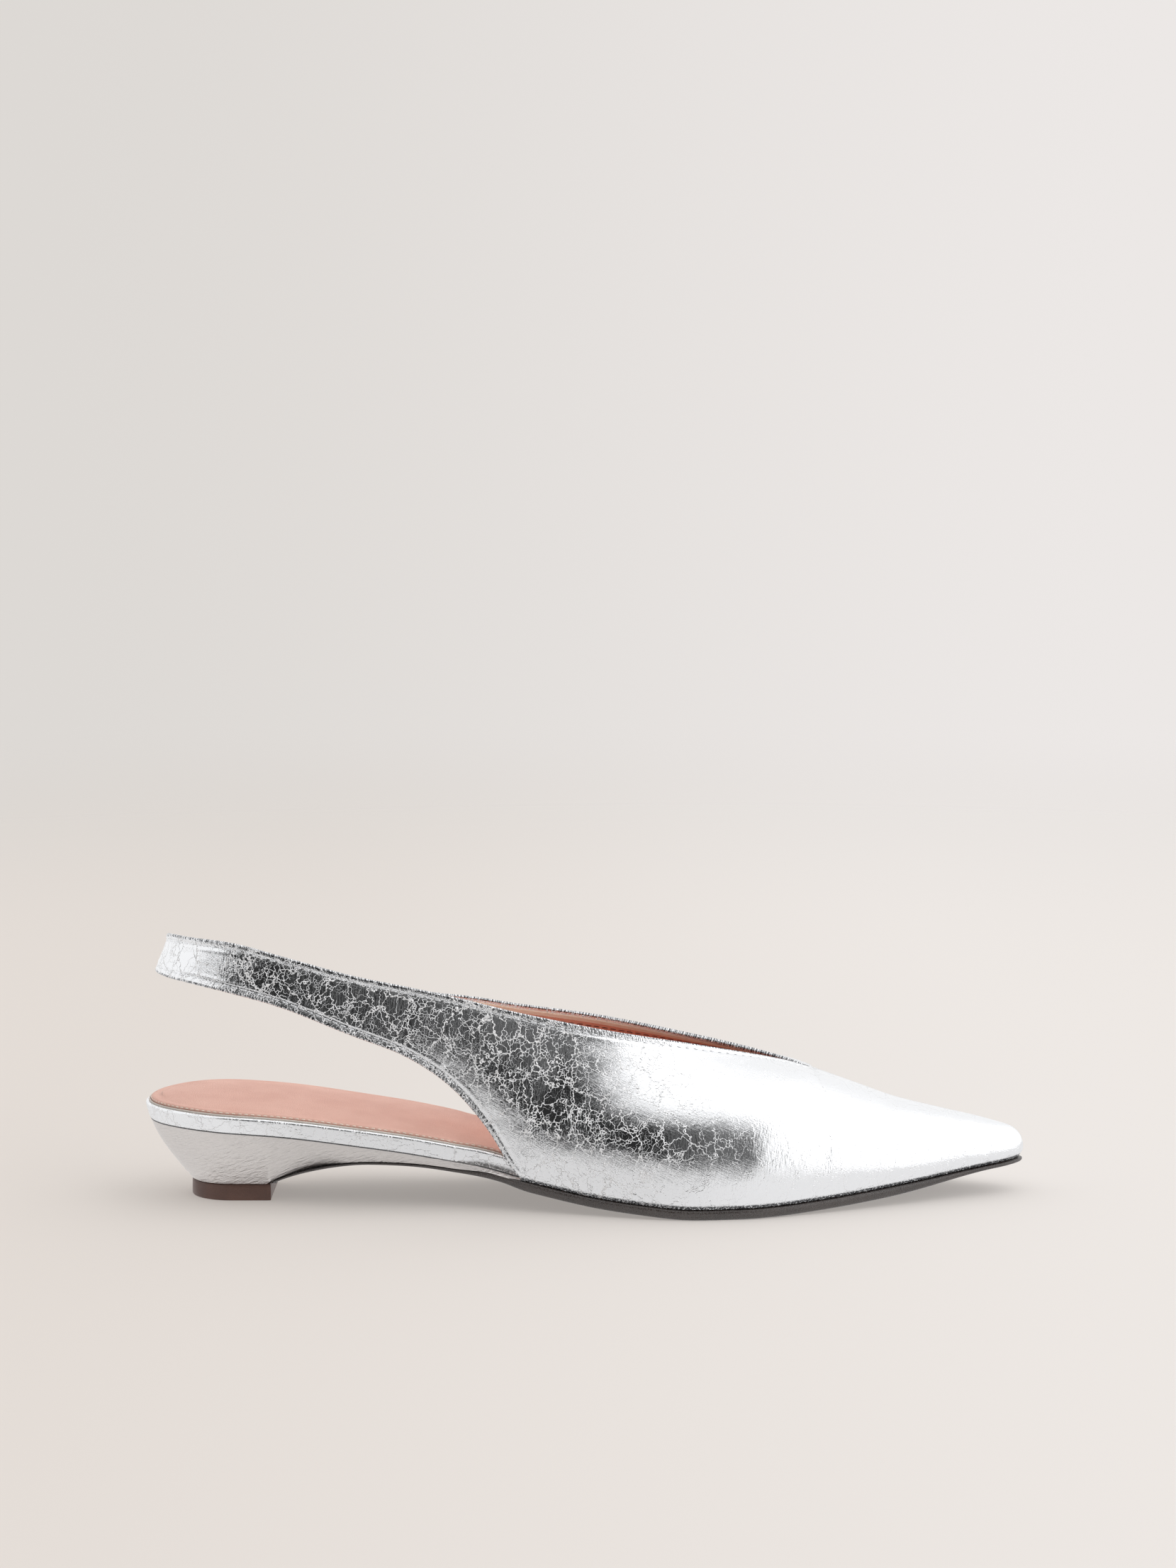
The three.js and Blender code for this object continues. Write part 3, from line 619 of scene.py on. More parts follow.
def silverLeather(name, crackle=1.0, dashes=1.0, folds=0.0, hem=True,
                  smooth=silver["smoothRoughness"], foil=silver["foil"]):
    material = bpy.data.materials.new(name)
    graph = Graph(material)
    spot = inMillimetres(graph)
    height, worn = crackLines(graph, spot)
    calm = graph.ramp(graph.part(spot, 0), *silver["calmPlaces"], 1.0, silver["calm"])
    height = graph.times(graph.times(height, crackle), calm)
    worn = graph.times(graph.times(worn, calm), min(1.0, crackle))
    upright = graph.noise(stretched(graph, spot, *silver["dashes"]), 1.0, 1.0, 0.5)
    patchy = graph.noise(spot, silver["patchScale"], 2.0, 0.5)
    weak, strong = silver["patchShares"]
    dashShare = graph.times(upright, graph.line(patchy, 0.3, 0.7, weak * dashes, strong * dashes))
    streaks = graph.noise(stretched(graph, spot, *silver["streaks"]), 1.0, 3.0, 0.65)
    swell = graph.noise(spot, silver["swellScale"], 1.0)
    height = graph.plus(height, graph.times(dashShare, silver["dashHeight"]))
    height = graph.plus(height, graph.times(streaks, silver["streakHeight"]))
    height = graph.plus(height, graph.times(swell, silver["swellHeight"]))
    if hem:
        # crumples along the folded edges, with painted shade in their valleys at the rim
        edge, hemWidth = graph.attribute("edgeDistance"), silver["hemWidth"]
        hemShare = graph.ramp(edge, hemWidth * 0.85, hemWidth * 1.2, 1.0, 0.0)
        leaning = graph.plus(graph.attribute("edgeRun"), graph.times(edge, 0.5))
        pleatPlace = {"X": leaning, "Y": graph.times(edge, 0.4)}
        pleats = graph.add("ShaderNodeCombineXYZ", pleatPlace).outputs[0]
        ticks = graph.noise(pleats, silver["tickScale"], 1.5, 0.7)
        height = graph.plus(height, graph.times(graph.times(ticks, hemShare), silver["hemHeight"]))
        white = graph.times(graph.ramp(ticks, 0.56, 0.66), graph.times(hemShare, silver["hemWhite"]))
        worn = graph.most(worn, white)
        rim = graph.times(graph.ramp(edge, 0.25, 0.6, 1.0, 0.0), graph.ramp(ticks, 0.56, 0.46))
        # and above the sole, with painted shade between the bumps of the grit
        fringe = graph.ramp(graph.attribute("lastedRise"), *silver["fringePlaces"], 1.0, 0.0)
        grit = graph.noise(spot, silver["tickScale"], 2.0, 0.7)
        height = graph.plus(height, graph.times(graph.times(grit, fringe), silver["fringeHeight"]))
        shade = graph.times(fringe, graph.ramp(grit, 0.6, 0.5))
        foil = graph.colour(graph.most(rim, shade), silver["foil"], silver["paintedCreviceShade"])
    if folds:
        creases = graph.noise(stretched(graph, spot, *silver["creases"]), 1.0, 3.0, 0.65)
        height = graph.plus(height, graph.times(creases, folds))
    roughness = graph.line(worn, 0.0, 1.0, smooth, max(smooth, silver["wornRoughness"]))
    scratched = graph.line(streaks, 0.35, 0.7, *silver["scratchRoughness"])
    graph.finish({
        "Base Color": graph.colour(worn, foil, silver["foilWorn"]),
        "Metallic": graph.line(worn, 0.0, 1.0, 1.0, silver["wornMetal"]),
        "Roughness": graph.math("ADD", roughness, scratched, clamp=True),
        "Normal": graph.bump(height, mm),
    })
    return material


lining = {
    "leather": rgb(232, 160, 136),
    "leatherDark": rgb(220, 146, 121),
    "rawEdge": rgb(246, 218, 196),
    "rawWidth": 1.0,        # the pale cut edge
    "below": 1.05,          # how far the lining stops short of the folded leather
    "belowLanding": 0.35,   # the same where the upper meets the sole
    "landingBlend": 3,
    "throatBlend": 2.5,
    "behind": 0.04,         # gap to the back of the leather
    "thick": 0.55,
    "rimBulge": 0.2,
}


def softLeather(name, base, dark, grainScale, grainHeight, roughness, gloss=0.5,
                edgeColour=None, edgeFrom=0.0):
    material = bpy.data.materials.new(name)
    graph = Graph(material)
    spot = inMillimetres(graph)
    blotches = graph.noise(spot, 0.09, 3.0, 0.6)
    pores = graph.veins(spot, grainScale)
    fine = graph.noise(spot, grainScale * 1.7, 2.0, 0.6)
    colour = graph.colour(graph.ramp(blotches, 0.3, 0.75), base, dark)
    if edgeColour:
        edgeShare = graph.ramp(graph.attribute("edgeDistance"), edgeFrom, edgeFrom + 0.25, 1.0, 0.0)
        colour = graph.colour(edgeShare, colour, edgeColour)
    height = graph.plus(graph.ramp(pores, 0.0, 0.12), graph.times(fine, 0.6))
    graph.finish({
        "Base Color": colour,
        "Roughness": graph.line(fine, 0.3, 0.7, roughness - 0.06, roughness + 0.06),
        "Specular IOR Level": gloss,
        "Normal": graph.bump(height, grainHeight * mm),
    })
    return material


silverUpper = silverLeather("silverCrackleLeather")
silverRand = silverLeather("silverWrapLeather", crackle=0.6, dashes=0.4, hem=False, smooth=0.24)
# its foil is darker and pinker than the upper's: the pinkish floor's reflection painted into its colour
silverHeel = silverLeather("silverSatinLeather", crackle=0.12, dashes=0.25, folds=0.5, hem=False,
                           smooth=0.33, foil=rgb(222, 217, 214))
silverThread = silverLeather("silverThread", crackle=0.0, dashes=0.3, hem=False, smooth=0.34)
liningLeather = softLeather("salmonLining", lining["leather"], lining["leatherDark"], 1.6, 0.05, 0.55,
                            edgeColour=lining["rawEdge"], edgeFrom=lining["below"] + lining["rawWidth"])
# base and dark colour, grain's scale and height, roughness
soft = {
    "pinkSockLeather": (rgb(221, 176, 160), rgb(214, 166, 150), 1.4, 0.06, 0.6),
    "paleBead": (rgb(222, 214, 206), rgb(204, 195, 186), 2.2, 0.04, 0.5),
    "brownSoleLeather": (rgb(64, 54, 50), rgb(52, 43, 40), 1.8, 0.05, 0.26, 1.0),
    "brownLiftRubber": (rgb(108, 76, 64), rgb(94, 66, 56), 2.4, 0.04, 0.4),
    "pinkThread": (rgb(250, 236, 222), rgb(240, 222, 206), 4.0, 0.03, 0.6),
    # a dark grey cord that paints the shade of the groove under the footbed's wrap
    "grooveShadeCord": (rgb(140, 140, 142), rgb(104, 104, 106), 2.5, 0.05, 0.5),
    "liningThread": (rgb(140, 78, 60), rgb(126, 68, 52), 4.0, 0.03, 0.6),
}
sockLeather, beadLeather, soleEdge, liftBrown, pinkThread, grooveShadeCord, brownThread = (
    softLeather(name, *look) for name, look in soft.items())
print("materials made")


# Upper: the lines of leather that join its lower edge to its top edge

upper = {
    "stations": {"loop": 34, "quarter": 72, "vamp": 66, "ridge": 46, "nose": 22},
    "crowding": 0.4,           # how much closer the stations get towards the landing
    "ridgeLead": 2,            # the line at the throat starts this far before it
    "noseLean": 0.6,
    "edgeSteps": 8,
    "edgeBand": 3.2,           # closely spaced points this near an edge
    "midSteps": 34,
    "leatherThick": 0.9,
    "hemBulge": 0.34,
    "hemReach": 1.9,
    "hemFolds": (1.0, 1.9),    # the hem's double leather ends between these
    "grooveInset": 1.75,
    "grooveDepth": 0.16,
    "grooveWide": 0.38,
    "shoulderInset": 2.7,      # the leather swells again beyond the groove
    "shoulderHeight": 0.1,
    "shoulderWide": 0.6,
    "turnIn": 0.7,             # how far it turns in above the sole, and from what height
    "turnInRise": 2.2,
    "turnInLead": 2,           # it starts this far before the quarter's landing
    "stitchInset": 1.65,
    "stitchInsetInside": 3.3,
    "stitchSink": 0.02,
    "stitchPitch": 2.65,
    "stitchLength": 1.75,
    "stitchWidth": 0.42,
}


def upperStations():
    # place on the lower edge, place on the top edge, and how far the line stands out to its side
    steps = upper["stations"]
    made = []
    loopLow = shoe["strapLowBack"] + shoe["strapRound"]
    loopTop = shoe["strapTopBack"] + shoe["strapRound"]
    noseLow = length - shoe["toeEndRound"] - shoe["gap"]
    noseBack = noseTop - upper["noseLean"] * shoe["toeEndRound"]
    ridgeLow = throat + upper["ridgeLead"]
    for i in range(steps["loop"]):
        turn = i / steps["loop"] * math.pi / 2
        back = shoe["strapRound"] * (1 - math.cos(turn))
        made.append((shoe["strapLowBack"] + back, shoe["strapTopBack"] + back, math.sin(turn)))
    for i in range(steps["quarter"]):
        share = i / steps["quarter"]
        crowded = mix(share, math.sin(share * math.pi / 2), upper["crowding"])
        made.append((mix(loopLow, quarterLanding, crowded), mix(loopTop, quarterTop, share), 1.0))
    for i in range(steps["vamp"]):
        share = i / steps["vamp"]
        made.append((mix(quarterLanding, ridgeLow, share), mix(quarterTop, throat, share), 1.0))
    for i in range(steps["ridge"]):
        share = i / steps["ridge"]
        made.append((mix(ridgeLow, noseLow, share), mix(throat, noseBack, share), 1.0))
    for i in range(steps["nose"] + 1):
        turn = i / steps["nose"] * math.pi / 2
        low = noseLow + shoe["toeEndRound"] * math.sin(turn)
        made.append((low, mix(noseBack, noseTop, math.sin(turn)), math.cos(turn)))
    return made


def lowEdgePoint(low, open_, side):
    sole = planMiddle(low) + side * shoe["ballWidth"] * planHalf(low)
    if low >= quarterLanding:
        return np.array([low, mix(planMiddle(low), sole, open_), seat(low)])
    strap = shoe["ballWidth"] * spineSwing(low) + side * shoe["strapWidth"] * lowHalf(low) * open_
    landing = seat(quarterLanding)
    high = mix(landing, shoe["strapLow"], lowUp(low))
    drop = shoe["innerDrop"] * lowDrop(low) if side > 0 else 0
    return np.array([low, mix(strap, sole, lowFlare(low)), max(landing, high - drop)])


def topEdgePoint(top, open_, side):
    middle = shoe["ballWidth"] * spineSwing(top)
    if top >= throat:
        return np.array([top, middle, mix(shoe["noseHeight"], shoe["throatHeight"], ridgeUp(top))])
    half = shoe["strapWidth"] * topHalf(top) * open_
    drop = shoe["innerDrop"] * topDrop(top) if side > 0 else 0
    height = mix(shoe["throatHeight"], shoe["strapTop"], topUp(top)) - drop
    return np.array([top, middle + side * half, height])


def upperLines(side):
    # for each station, a dense curve from the lower edge to the top edge
    stations = upperStations()
    lows = [lowEdgePoint(low, open_, side) for low, top, open_ in stations]
    tops = [topEdgePoint(top, open_, side) for low, top, open_ in stations]
    last = len(stations) - 1
    t = np.linspace(0, 1, 61)[:, None]
    lines = []
    for i, (lowPlace, topPlace, open_) in enumerate(stations):
        low, top = lows[i], tops[i]
        along = lows[min(i + 1, last)] - lows[max(i - 1, 0)]
        out = np.array([-side * along[1], side * along[0], 0.0])
        if i == 0:
            out = np.array([-1.0, 0, 0])
        if i == last:
            out = np.array([1.0, 0, 0])
        out /= np.linalg.norm(out)
        topOut = out
        if topPlace >= throat:
            tangent = tops[min(i + 1, last)] - tops[max(i - 1, 0)]
            tangent /= np.linalg.norm(tangent)
            topOut = tangent * out[0] + np.array([0, out[1], 0])
        reach = np.linalg.norm(top - low)
        lean = math.radians(leanAt(lowPlace))
        slope = math.radians(slopeAt(lowPlace))
        lowPull = out * math.sin(lean) + np.array([0, 0, math.cos(lean)])
        topPull = topOut * math.cos(slope) - np.array([0, 0, math.sin(slope)])
        b = low + lowPull * reach * lowPullAt(lowPlace)
        c = top + topPull * reach * topPullAt(lowPlace)
        lowHalfLine = low * (1 - t) ** 3 + b * 3 * t * (1 - t) ** 2
        lines.append(lowHalfLine + c * 3 * t * t * (1 - t) + top * t ** 3)
    return stations, lines


def along(line, distances):
    # points of a dense line at given distances from its start
    run = runAlong(line)
    return np.column_stack([np.interp(distances, run, line[:, k]) for k in range(3)])


def lineLength(line):
    return float(runAlong(line)[-1])


def upperGrid(lowStart, topStart):
    # one welded surface over both sides; lowStart and topStart give where each line begins and ends
    edgeSteps, midSteps = upper["edgeSteps"], upper["midSteps"]
    rows = 2 * edgeSteps + midSteps
    points, faces, runs = [], [], []
    grids = {}
    for side in (-1, 1):
        stations, lines = upperLines(side)
        last = len(stations) - 1
        grid = []
        run = 0.0
        for i, ((lowPlace, topPlace, open_), line) in enumerate(zip(stations, lines)):
            full = lineLength(line)
            start, end = lowStart(lowPlace), full - topStart(topPlace)
            band = min(upper["edgeBand"], 0.3 * (end - start))
            distances = [start + band * k / edgeSteps for k in range(edgeSteps)]
            distances += [mix(start + band, end - band, k / midSteps) for k in range(midSteps)]
            distances += [end - band + band * k / edgeSteps for k in range(edgeSteps + 1)]
            spots = along(line, distances)
            if i:
                run += sum(float(np.linalg.norm(spots[k] - previous[k])) for k in (-1, 0)) / 2
            previous = spots
            row = []
            for j, spot in enumerate(spots):
                atRidge = j == rows and topPlace >= throat and topStart(topPlace) == 0
                welded = side > 0 and (i == 0 or i == last or atRidge)
                if welded:
                    row.append(grids[-1][i][j])
                    continue
                row.append(len(points))
                points.append(spot)
                runs.append(side * run)
            grid.append(row)
        grids[side] = grid
        for i in range(last):
            for j in range(rows):
                quad = (grid[i][j], grid[i + 1][j], grid[i + 1][j + 1], grid[i][j + 1])
                quad = quad if side < 0 else tuple(reversed(quad))
                kept = tuple(v for k, v in enumerate(quad) if v not in quad[:k])
                if len(kept) > 2:
                    faces.append(kept)
    return np.array(points), faces, runs


def edgePath(inset, atTop):
    # a path round both sides at an even distance in from the topline or from the strap's lower edge
    halves = {}
    for side in (-1, 1):
        stations, lines = upperLines(side)
        path = []
        for (lowPlace, topPlace, open_), line in zip(stations, lines):
            if (topPlace >= throat) if atTop else (lowPlace >= quarterLanding - 0.5):
                break
            path.append(along(line, [inset if not atTop else lineLength(line) - inset])[0])
        halves[side] = path
    return np.array(halves[-1][::-1] + halves[1][1:])


def denseEdges():
    # many points on the free edges, to measure how far any point of the leather is from them
    treePoints = []
    for side in (-1, 1):
        stations, lines = upperLines(side)
        for atTop in (True, False):
            edge = []
            for (lowPlace, topPlace, open_), line in zip(stations, lines):
                if (topPlace > throat + 0.01) if atTop else (lowPlace > quarterLanding + 0.01):
                    break
                edge.append(line[-1] if atTop else line[0])
            edge = np.array(edge)
            for a, b in zip(edge, edge[1:]):
                count = max(1, int(np.linalg.norm(b - a) / 0.12))
                for k in range(count):
                    treePoints.append(a + (b - a) * k / count)
    return treeOf(treePoints)


edgeTree = denseEdges()


def edgeDistances(points):
    return np.array([edgeTree.find(spot)[2] for spot in points])


def stitchRow(name, path, pitch, stitchLength, width, lift, material, normalAt):
    # short rounded stitches laid along a path
    run = runAlong(path)
    count = int(run[-1] / pitch)
    verts, faces = [], []
    around, rings = 6, 5
    for k in range(count):
        middle = (k + 0.5) * run[-1] / count
        a, b = (np.array([np.interp(middle + d, run, path[:, c]) for c in range(3)])
                for d in (-stitchLength / 2, stitchLength / 2))
        centre = (a + b) / 2
        direction = unit(b - a)
        across = unit(np.cross(direction, normalAt(centre)))
        normal = np.cross(across, direction)
        base = len(verts)
        for ring in range(rings):
            share = ring / (rings - 1)
            fat = math.sin(math.pi * mix(0.12, 0.88, share)) ** 0.5
            spot = a + (b - a) * share + normal * (lift - 0.35 * width * (2 * share - 1) ** 4)
            for c in range(around):
                angle = 2 * math.pi * c / around
                offset = across * math.cos(angle) + normal * math.sin(angle) * 0.8
                verts.append(tuple(spot + offset * width / 2 * fat))
        for ring in range(rings - 1):
            for c in range(around):
                d = (c + 1) % around
                faces.append((base + ring * around + c, base + ring * around + d,
                              base + (ring + 1) * around + d, base + (ring + 1) * around + c))
        faces.append(tuple(base + c for c in reversed(range(around))))
        faces.append(tuple(base + (rings - 1) * around + c for c in range(around)))
    return makeObject(name, verts, turnOut(verts, faces), material)


def nearestNormal(points, normals):
    tree = treeOf(points)
    return lambda spot: normals[tree.find(spot)[1]]


points, faces, runs = upperGrid(lambda low: 0.0, lambda top: 0.0)
normals = surfaceNormals(points, faces)
distances = edgeDistances(points)
hem = 1 - np.array([ease(d, 0.0, upper["hemReach"]) for d in distances])
groove = np.exp(-((distances - upper["grooveInset"]) / upper["grooveWide"]) ** 2)
shoulder = np.exp(-((distances - upper["shoulderInset"]) / upper["shoulderWide"]) ** 2)
bulge = upper["hemBulge"] * hem - upper["grooveDepth"] * groove + upper["shoulderHeight"] * shoulder
shaped = points + normals * bulge[:, None]
# the leather turns in under its lasted edge, before the sole
turned = []
turnInStart = quarterLanding - upper["turnInLead"]
for spot in shaped:
    share = 1 - ease(spot[2] - seat(spot[0]), 0.0, upper["turnInRise"])
    turned.append(upper["turnIn"] * share if spot[0] > turnInStart else 0.0)
shaped = shaped - normals * np.array(turned)[:, None] * np.array([1, 1, 0])


def lastedRise(spot):
    # height above the sole, where the leather is fixed to it
    return float(spot[2] - seat(spot[0])) if spot[0] > quarterLanding else 9.0


folded = 1 - np.array([ease(d, *upper["hemFolds"]) for d in distances])
thick = upper["leatherThick"] + (shoe["wall"] - upper["leatherThick"]) * folded
verts, shellFaces, source = thickShell(shaped, faces, np.zeros(len(points)), thick)
attributes = {
    "edgeDistance": [float(distances[i]) for i in source],
    "edgeRun": [float(runs[i]) for i in source],
    "lastedRise": [lastedRise(shaped[i]) for i in source],
}
upperLeather = makeObject("upperLeather", verts, shellFaces, silverUpper, attributes)
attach(upperLeather, "root")
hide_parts("upper")
print("upper leather", len(shellFaces), "faces")


def liningStart(low):
    share = ease(low, quarterLanding - 1, quarterLanding + lining["landingBlend"])
    return mix(lining["below"], lining["belowLanding"], share)


def liningStop(top):
    return lining["below"] * max(0.0, 1 - max(0.0, top - throat) / lining["throatBlend"])


linePoints, lineFaces, _ = upperGrid(liningStart, liningStop)
lineDistances = edgeDistances(linePoints)
depth = np.full(len(linePoints), upper["leatherThick"] + lining["behind"])
thick = np.full(len(linePoints), lining["thick"])
verts, shellFaces, source = thickShell(linePoints, lineFaces, depth, thick, rimBulge=lining["rimBulge"])
attributes = {"edgeDistance": [float(lineDistances[i]) for i in source]}
upperLining = makeObject("upperLining", verts, shellFaces, liningLeather, attributes)
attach(upperLining, "root")
print("lining", len(shellFaces), "faces")

normalAt = nearestNormal(points, normals)
stitchSize = (upper["stitchPitch"], upper["stitchLength"], upper["stitchWidth"])
outside = (upper["stitchInset"], -upper["stitchSink"], silverThread)
inside = (upper["stitchInsetInside"], -shoe["wall"] - upper["stitchSink"], brownThread)
for name, atTop, (inset, lift, thread) in (
        ("toplineStitches", True, outside), ("lowEdgeStitches", False, outside),
        ("toplineStitchesInside", True, inside), ("lowEdgeStitchesInside", False, inside)):
    row = stitchRow(name, edgePath(inset, atTop), *stitchSize, lift, thread, normalAt)
    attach(row, "root")
print("stitches laid")


# Footbed, wrapped in silver leather, with a pale bead round the sock

footbed = {
    "heelThick": 5.2,
    "ballThick": 2.4,
    "toeShort": 7,
    "alongSteps": 110,
    "roundSteps": 18,
    # the wrapped edge: inset and height from the underside, halfway, and down from the top
    "lowProfile": ((2.6, 0.0), (1.75, 0.02), (1.35, 0.14), (1.1, 0.4), (0.95, 0.75)),
    "midInset": 0.45,
    "topProfile": ((0.08, 1.0), (0.03, 0.66), (0.1, 0.36), (0.3, 0.13), (0.66, 0.02), (1.2, 0.0),
                   (2.2, 0.02)),
    "beadRadius": 0.32,
    "beadInset": 1.15,
    "beadRise": 0.2,
    "seamRadius": 0.13,
    "seamInset": 1.5,
    "seamDrop": 0.1,
}
footbedEnd = length - footbed["toeShort"]


def footbedTop(place):
    return seat(place) + mix(footbed["ballThick"], footbed["heelThick"], footbedFull(place))


def footbedHalf(place, extra=0.0):
    inset = (shoe["wall"] + 2 * shoe["gap"]) * footbedTuck(place) + extra
    return planHalfInset(place, inset, 0, footbedEnd)


footbedPlaces = spread(0, footbedEnd, footbed["alongSteps"], shoe["heelEndRound"],
                       shoe["toeEndRound"], footbed["roundSteps"])
footbedLoop = loop(footbedPlaces, footbedHalf, planMiddle)
rings = []
for inset, rise in footbed["lowProfile"]:
    rings.append(ringAt(footbedLoop, inset, lambda x, rise=rise: seat(x) + rise))
rings.append(ringAt(footbedLoop, footbed["midInset"], lambda x: (seat(x) + footbedTop(x)) / 2))
for inset, drop in footbed["topProfile"]:
    rings.append(ringAt(footbedLoop, inset, lambda x, drop=drop: footbedTop(x) - drop))
footbedWrap = makeObject("footbedWrap", *stackRings(rings, 8), silverRand)
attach(footbedWrap, "root")
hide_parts("footbed")

sock = {
    "above": 0.1,     # gap to the footbed's top
    # inset and height of its edge, with the valley of the seam
    "profile": ((2.2, 0.0), (1.75, 0.05), (1.52, 0.3), (1.5, 0.6), (1.62, 0.9), (1.95, 1.14),
                (2.5, 1.27), (3.2, 1.2), (3.9, 1.16), (4.8, 1.3)),
    "crown": 0.35,
    "crownPower": 0.7,
    "stitchInset": 1.58,
    "stitchRise": 0.84,
    "stitchPitch": 1.9,
    "stitchLength": 1.3,
    "stitchWidth": 0.34,
    "fill": 0.9,
}


def sockBase(place):
    return footbedTop(place) + sock["above"]


def sockCrown(place, share):
    return sock["crown"] * math.sin(math.pi * share) ** sock["crownPower"]


rings = []
for inset, height in sock["profile"]:
    rings.append(ringAt(footbedLoop, inset, lambda x, height=height: sockBase(x) + height))
sockPad = makeObject("sockPad", *stackRings(rings, 10, sockCrown), sockLeather)
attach(sockPad, "root")
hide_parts("sock")

footbedBead = makeHoop("footbedBead", footbedLoop, footbed["beadInset"],
                       lambda x: footbedTop(x) + footbed["beadRise"], footbed["beadRadius"], beadLeather)
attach(footbedBead, "root")
# painted shade: a dark grey cord laid in the groove under the footbed's wrap
randGrooveShade = makeHoop("randGrooveShade", footbedLoop, footbed["seamInset"],
                    lambda x: seat(x) - footbed["seamDrop"], footbed["seamRadius"], grooveShadeCord)
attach(randGrooveShade, "root")

sockPath = ringAt(footbedLoop, sock["stitchInset"], lambda x: sockBase(x) + sock["stitchRise"])
sockOut = np.array([(nx * 0.8, ny * 0.8, 0.6) for x, y, nx, ny in footbedLoop])
sockNormal = nearestNormal(sockPath, sockOut)
stitchSize = (sock["stitchPitch"], sock["stitchLength"], sock["stitchWidth"])
closedPath = np.array(sockPath + sockPath[:1])
sockStitches = stitchRow("sockStitches", closedPath, *stitchSize, 0.0, pinkThread, sockNormal)
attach(sockStitches, "root")
print("footbed and sock made")


# Heel, covered in satin silver leather, with its lift

heel = {
    "inset": 1.4,
    "swell": 0.5,
    "baseWidth": 25,
    "baseRound": 13,
    "liftHeight": 4.9,
    "bedRise": 0.25,           # reaches this far up past the gap under the footbed
    "breastBlend": (1.2, 0.3),   # the front of the foot rounds off between these
    "roundSteps": 16,
    "archSteps": 60,
    "footSteps": 10,
}
baseFront = heelBaseBack + heelBaseLength


def heelPlaces():
    # place along the top and along the base, from the back to the end of the wedge
    topStart = heel["inset"] + shoe["heelEndRound"]
    baseStart = heelBaseBack + heel["baseRound"]
    made = []
    for i in range(heel["roundSteps"]):
        turn = 1 - math.cos(i / heel["roundSteps"] * math.pi / 2)
        made.append((heel["inset"] + shoe["heelEndRound"] * turn, heelBaseBack + heel["baseRound"] * turn))
    footSteps, archSteps = heel["footSteps"], heel["archSteps"]
    bases = [mix(baseStart, baseFront, i / footSteps) for i in range(footSteps + 1)]
    bases += [mix(baseFront + shoe["gap"], wedgeStop, i / archSteps) for i in range(archSteps + 1)]
    for base in bases:
        share = (base - baseStart) / (wedgeStop - baseStart)
        made.append((mix(topStart, wedgeStop, share), base))
    return made


def heelUnder(base):
    foot = heel["liftHeight"] + shoe["gap"]
    before, after = heel["breastBlend"]
    return mix(foot, soleTop(base) + shoe["gap"], ease(base, baseFront - before, baseFront + after))


def heelBaseHalf(base):
    beyond = ease(base, baseFront, baseFront + heelBaseLength)
    half = mix(heel["baseWidth"] / 2, shoe["ballWidth"] * waistUnder(base), beyond)
    return half * closing(base - heelBaseBack, heel["baseRound"])


def heelSidePoint(top, base, side, up):
    out = mix(up, math.sin(up * math.pi / 2), heel["swell"])
    topY = planMiddle(top) + side * planHalfInset(top, heel["inset"], heel["inset"], length)
    baseY = planMiddle(base) + side * heelBaseHalf(base)
    topZ = seat(top) - shoe["gap"] + heel["bedRise"]
    lowZ = min(heelUnder(base), topZ - 2 * shoe["gap"])
    return (mix(base, top, out), mix(baseY, topY, out), mix(lowZ, topZ, up))


places = heelPlaces()
ups = [0.5 - 0.5 * math.cos(math.pi * k / 18) for k in range(19)]
rings = []
for up in ups:
    outer = [heelSidePoint(top, base, -1, up) for top, base in places[1:]]
    inner = [heelSidePoint(top, base, 1, up) for top, base in places[1:]]
    back = heelSidePoint(*places[0], -1, up)
    front = tuple((np.array(outer[-1]) + np.array(inner[-1])) / 2)
    rings.append([back] + outer + [front] + inner[::-1])
heelCover = makeObject("heelCover", *stackRings(rings, 8), silverHeel)
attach(heelCover, "root")
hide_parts("heel")

# inset and height of the lift's side
liftSide = ((0.5, 0.0), (0.12, 0.12), (0.0, 0.4), (0.0, 2.4), (0.05, 4.0), (0.12, 4.75), (0.5, 4.95))


def liftHalf(place):
    return heel["baseWidth"] / 2 * closing(place - heelBaseBack, heel["baseRound"])


liftPlaces = spread(heelBaseBack, baseFront, 8, heel["baseRound"], 0, 16)
liftLoop = loop(liftPlaces, liftHalf, lambda place: 0.0, flatFront=True)
rings = [ringAt(liftLoop, inset, lambda x, z=z: z) for inset, z in liftSide]
topLift = makeObject("topLift", *stackRings(rings, 6), liftBrown)
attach(topLift, "root")
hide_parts("top_lift")

# Outsole
sole = {
    "behindHeel": 0.15,    # gap to the front of the heel
    "waistSteps": 44,
    "forepartSteps": 110,
    "roundSteps": 18,
    # inset of its edge, and height as a share of its thickness
    "profile": ((1.4, 0.0), (0.7, 0.02), (0.3, 0.12), (0.05, 0.34), (0.0, 0.6), (0.02, 0.82),
                (0.25, 0.95), (0.8, 1.0)),
}


def soleHalf(place):
    front = planHalfInset(place, 0, 0, length)
    return mix(shoe["ballWidth"] * waistUnder(place), front, forepartShare(place))


solePlaces = spread(baseFront + sole["behindHeel"], wedgeStop + shoe["gap"], sole["waistSteps"])
solePlaces += spread(wedgeStop + 0.8, length, sole["forepartSteps"], 0, shoe["toeEndRound"],
                     sole["roundSteps"])
soleLoop = loop(solePlaces, soleHalf, planMiddle, flatBack=True)
rings = []
for inset, share in sole["profile"]:
    rings.append(ringAt(soleLoop, inset, lambda x, share=share: mix(soleUnder(x), soleTop(x), share)))
outsole = makeObject("outsoleDressed", *stackRings(rings, 10), soleEdge)
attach(outsole, "root")
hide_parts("outsole")
print("heel, lift and outsole made")


# Studio: pale floor, soft boxes in the surroundings, camera at the photograph's angle

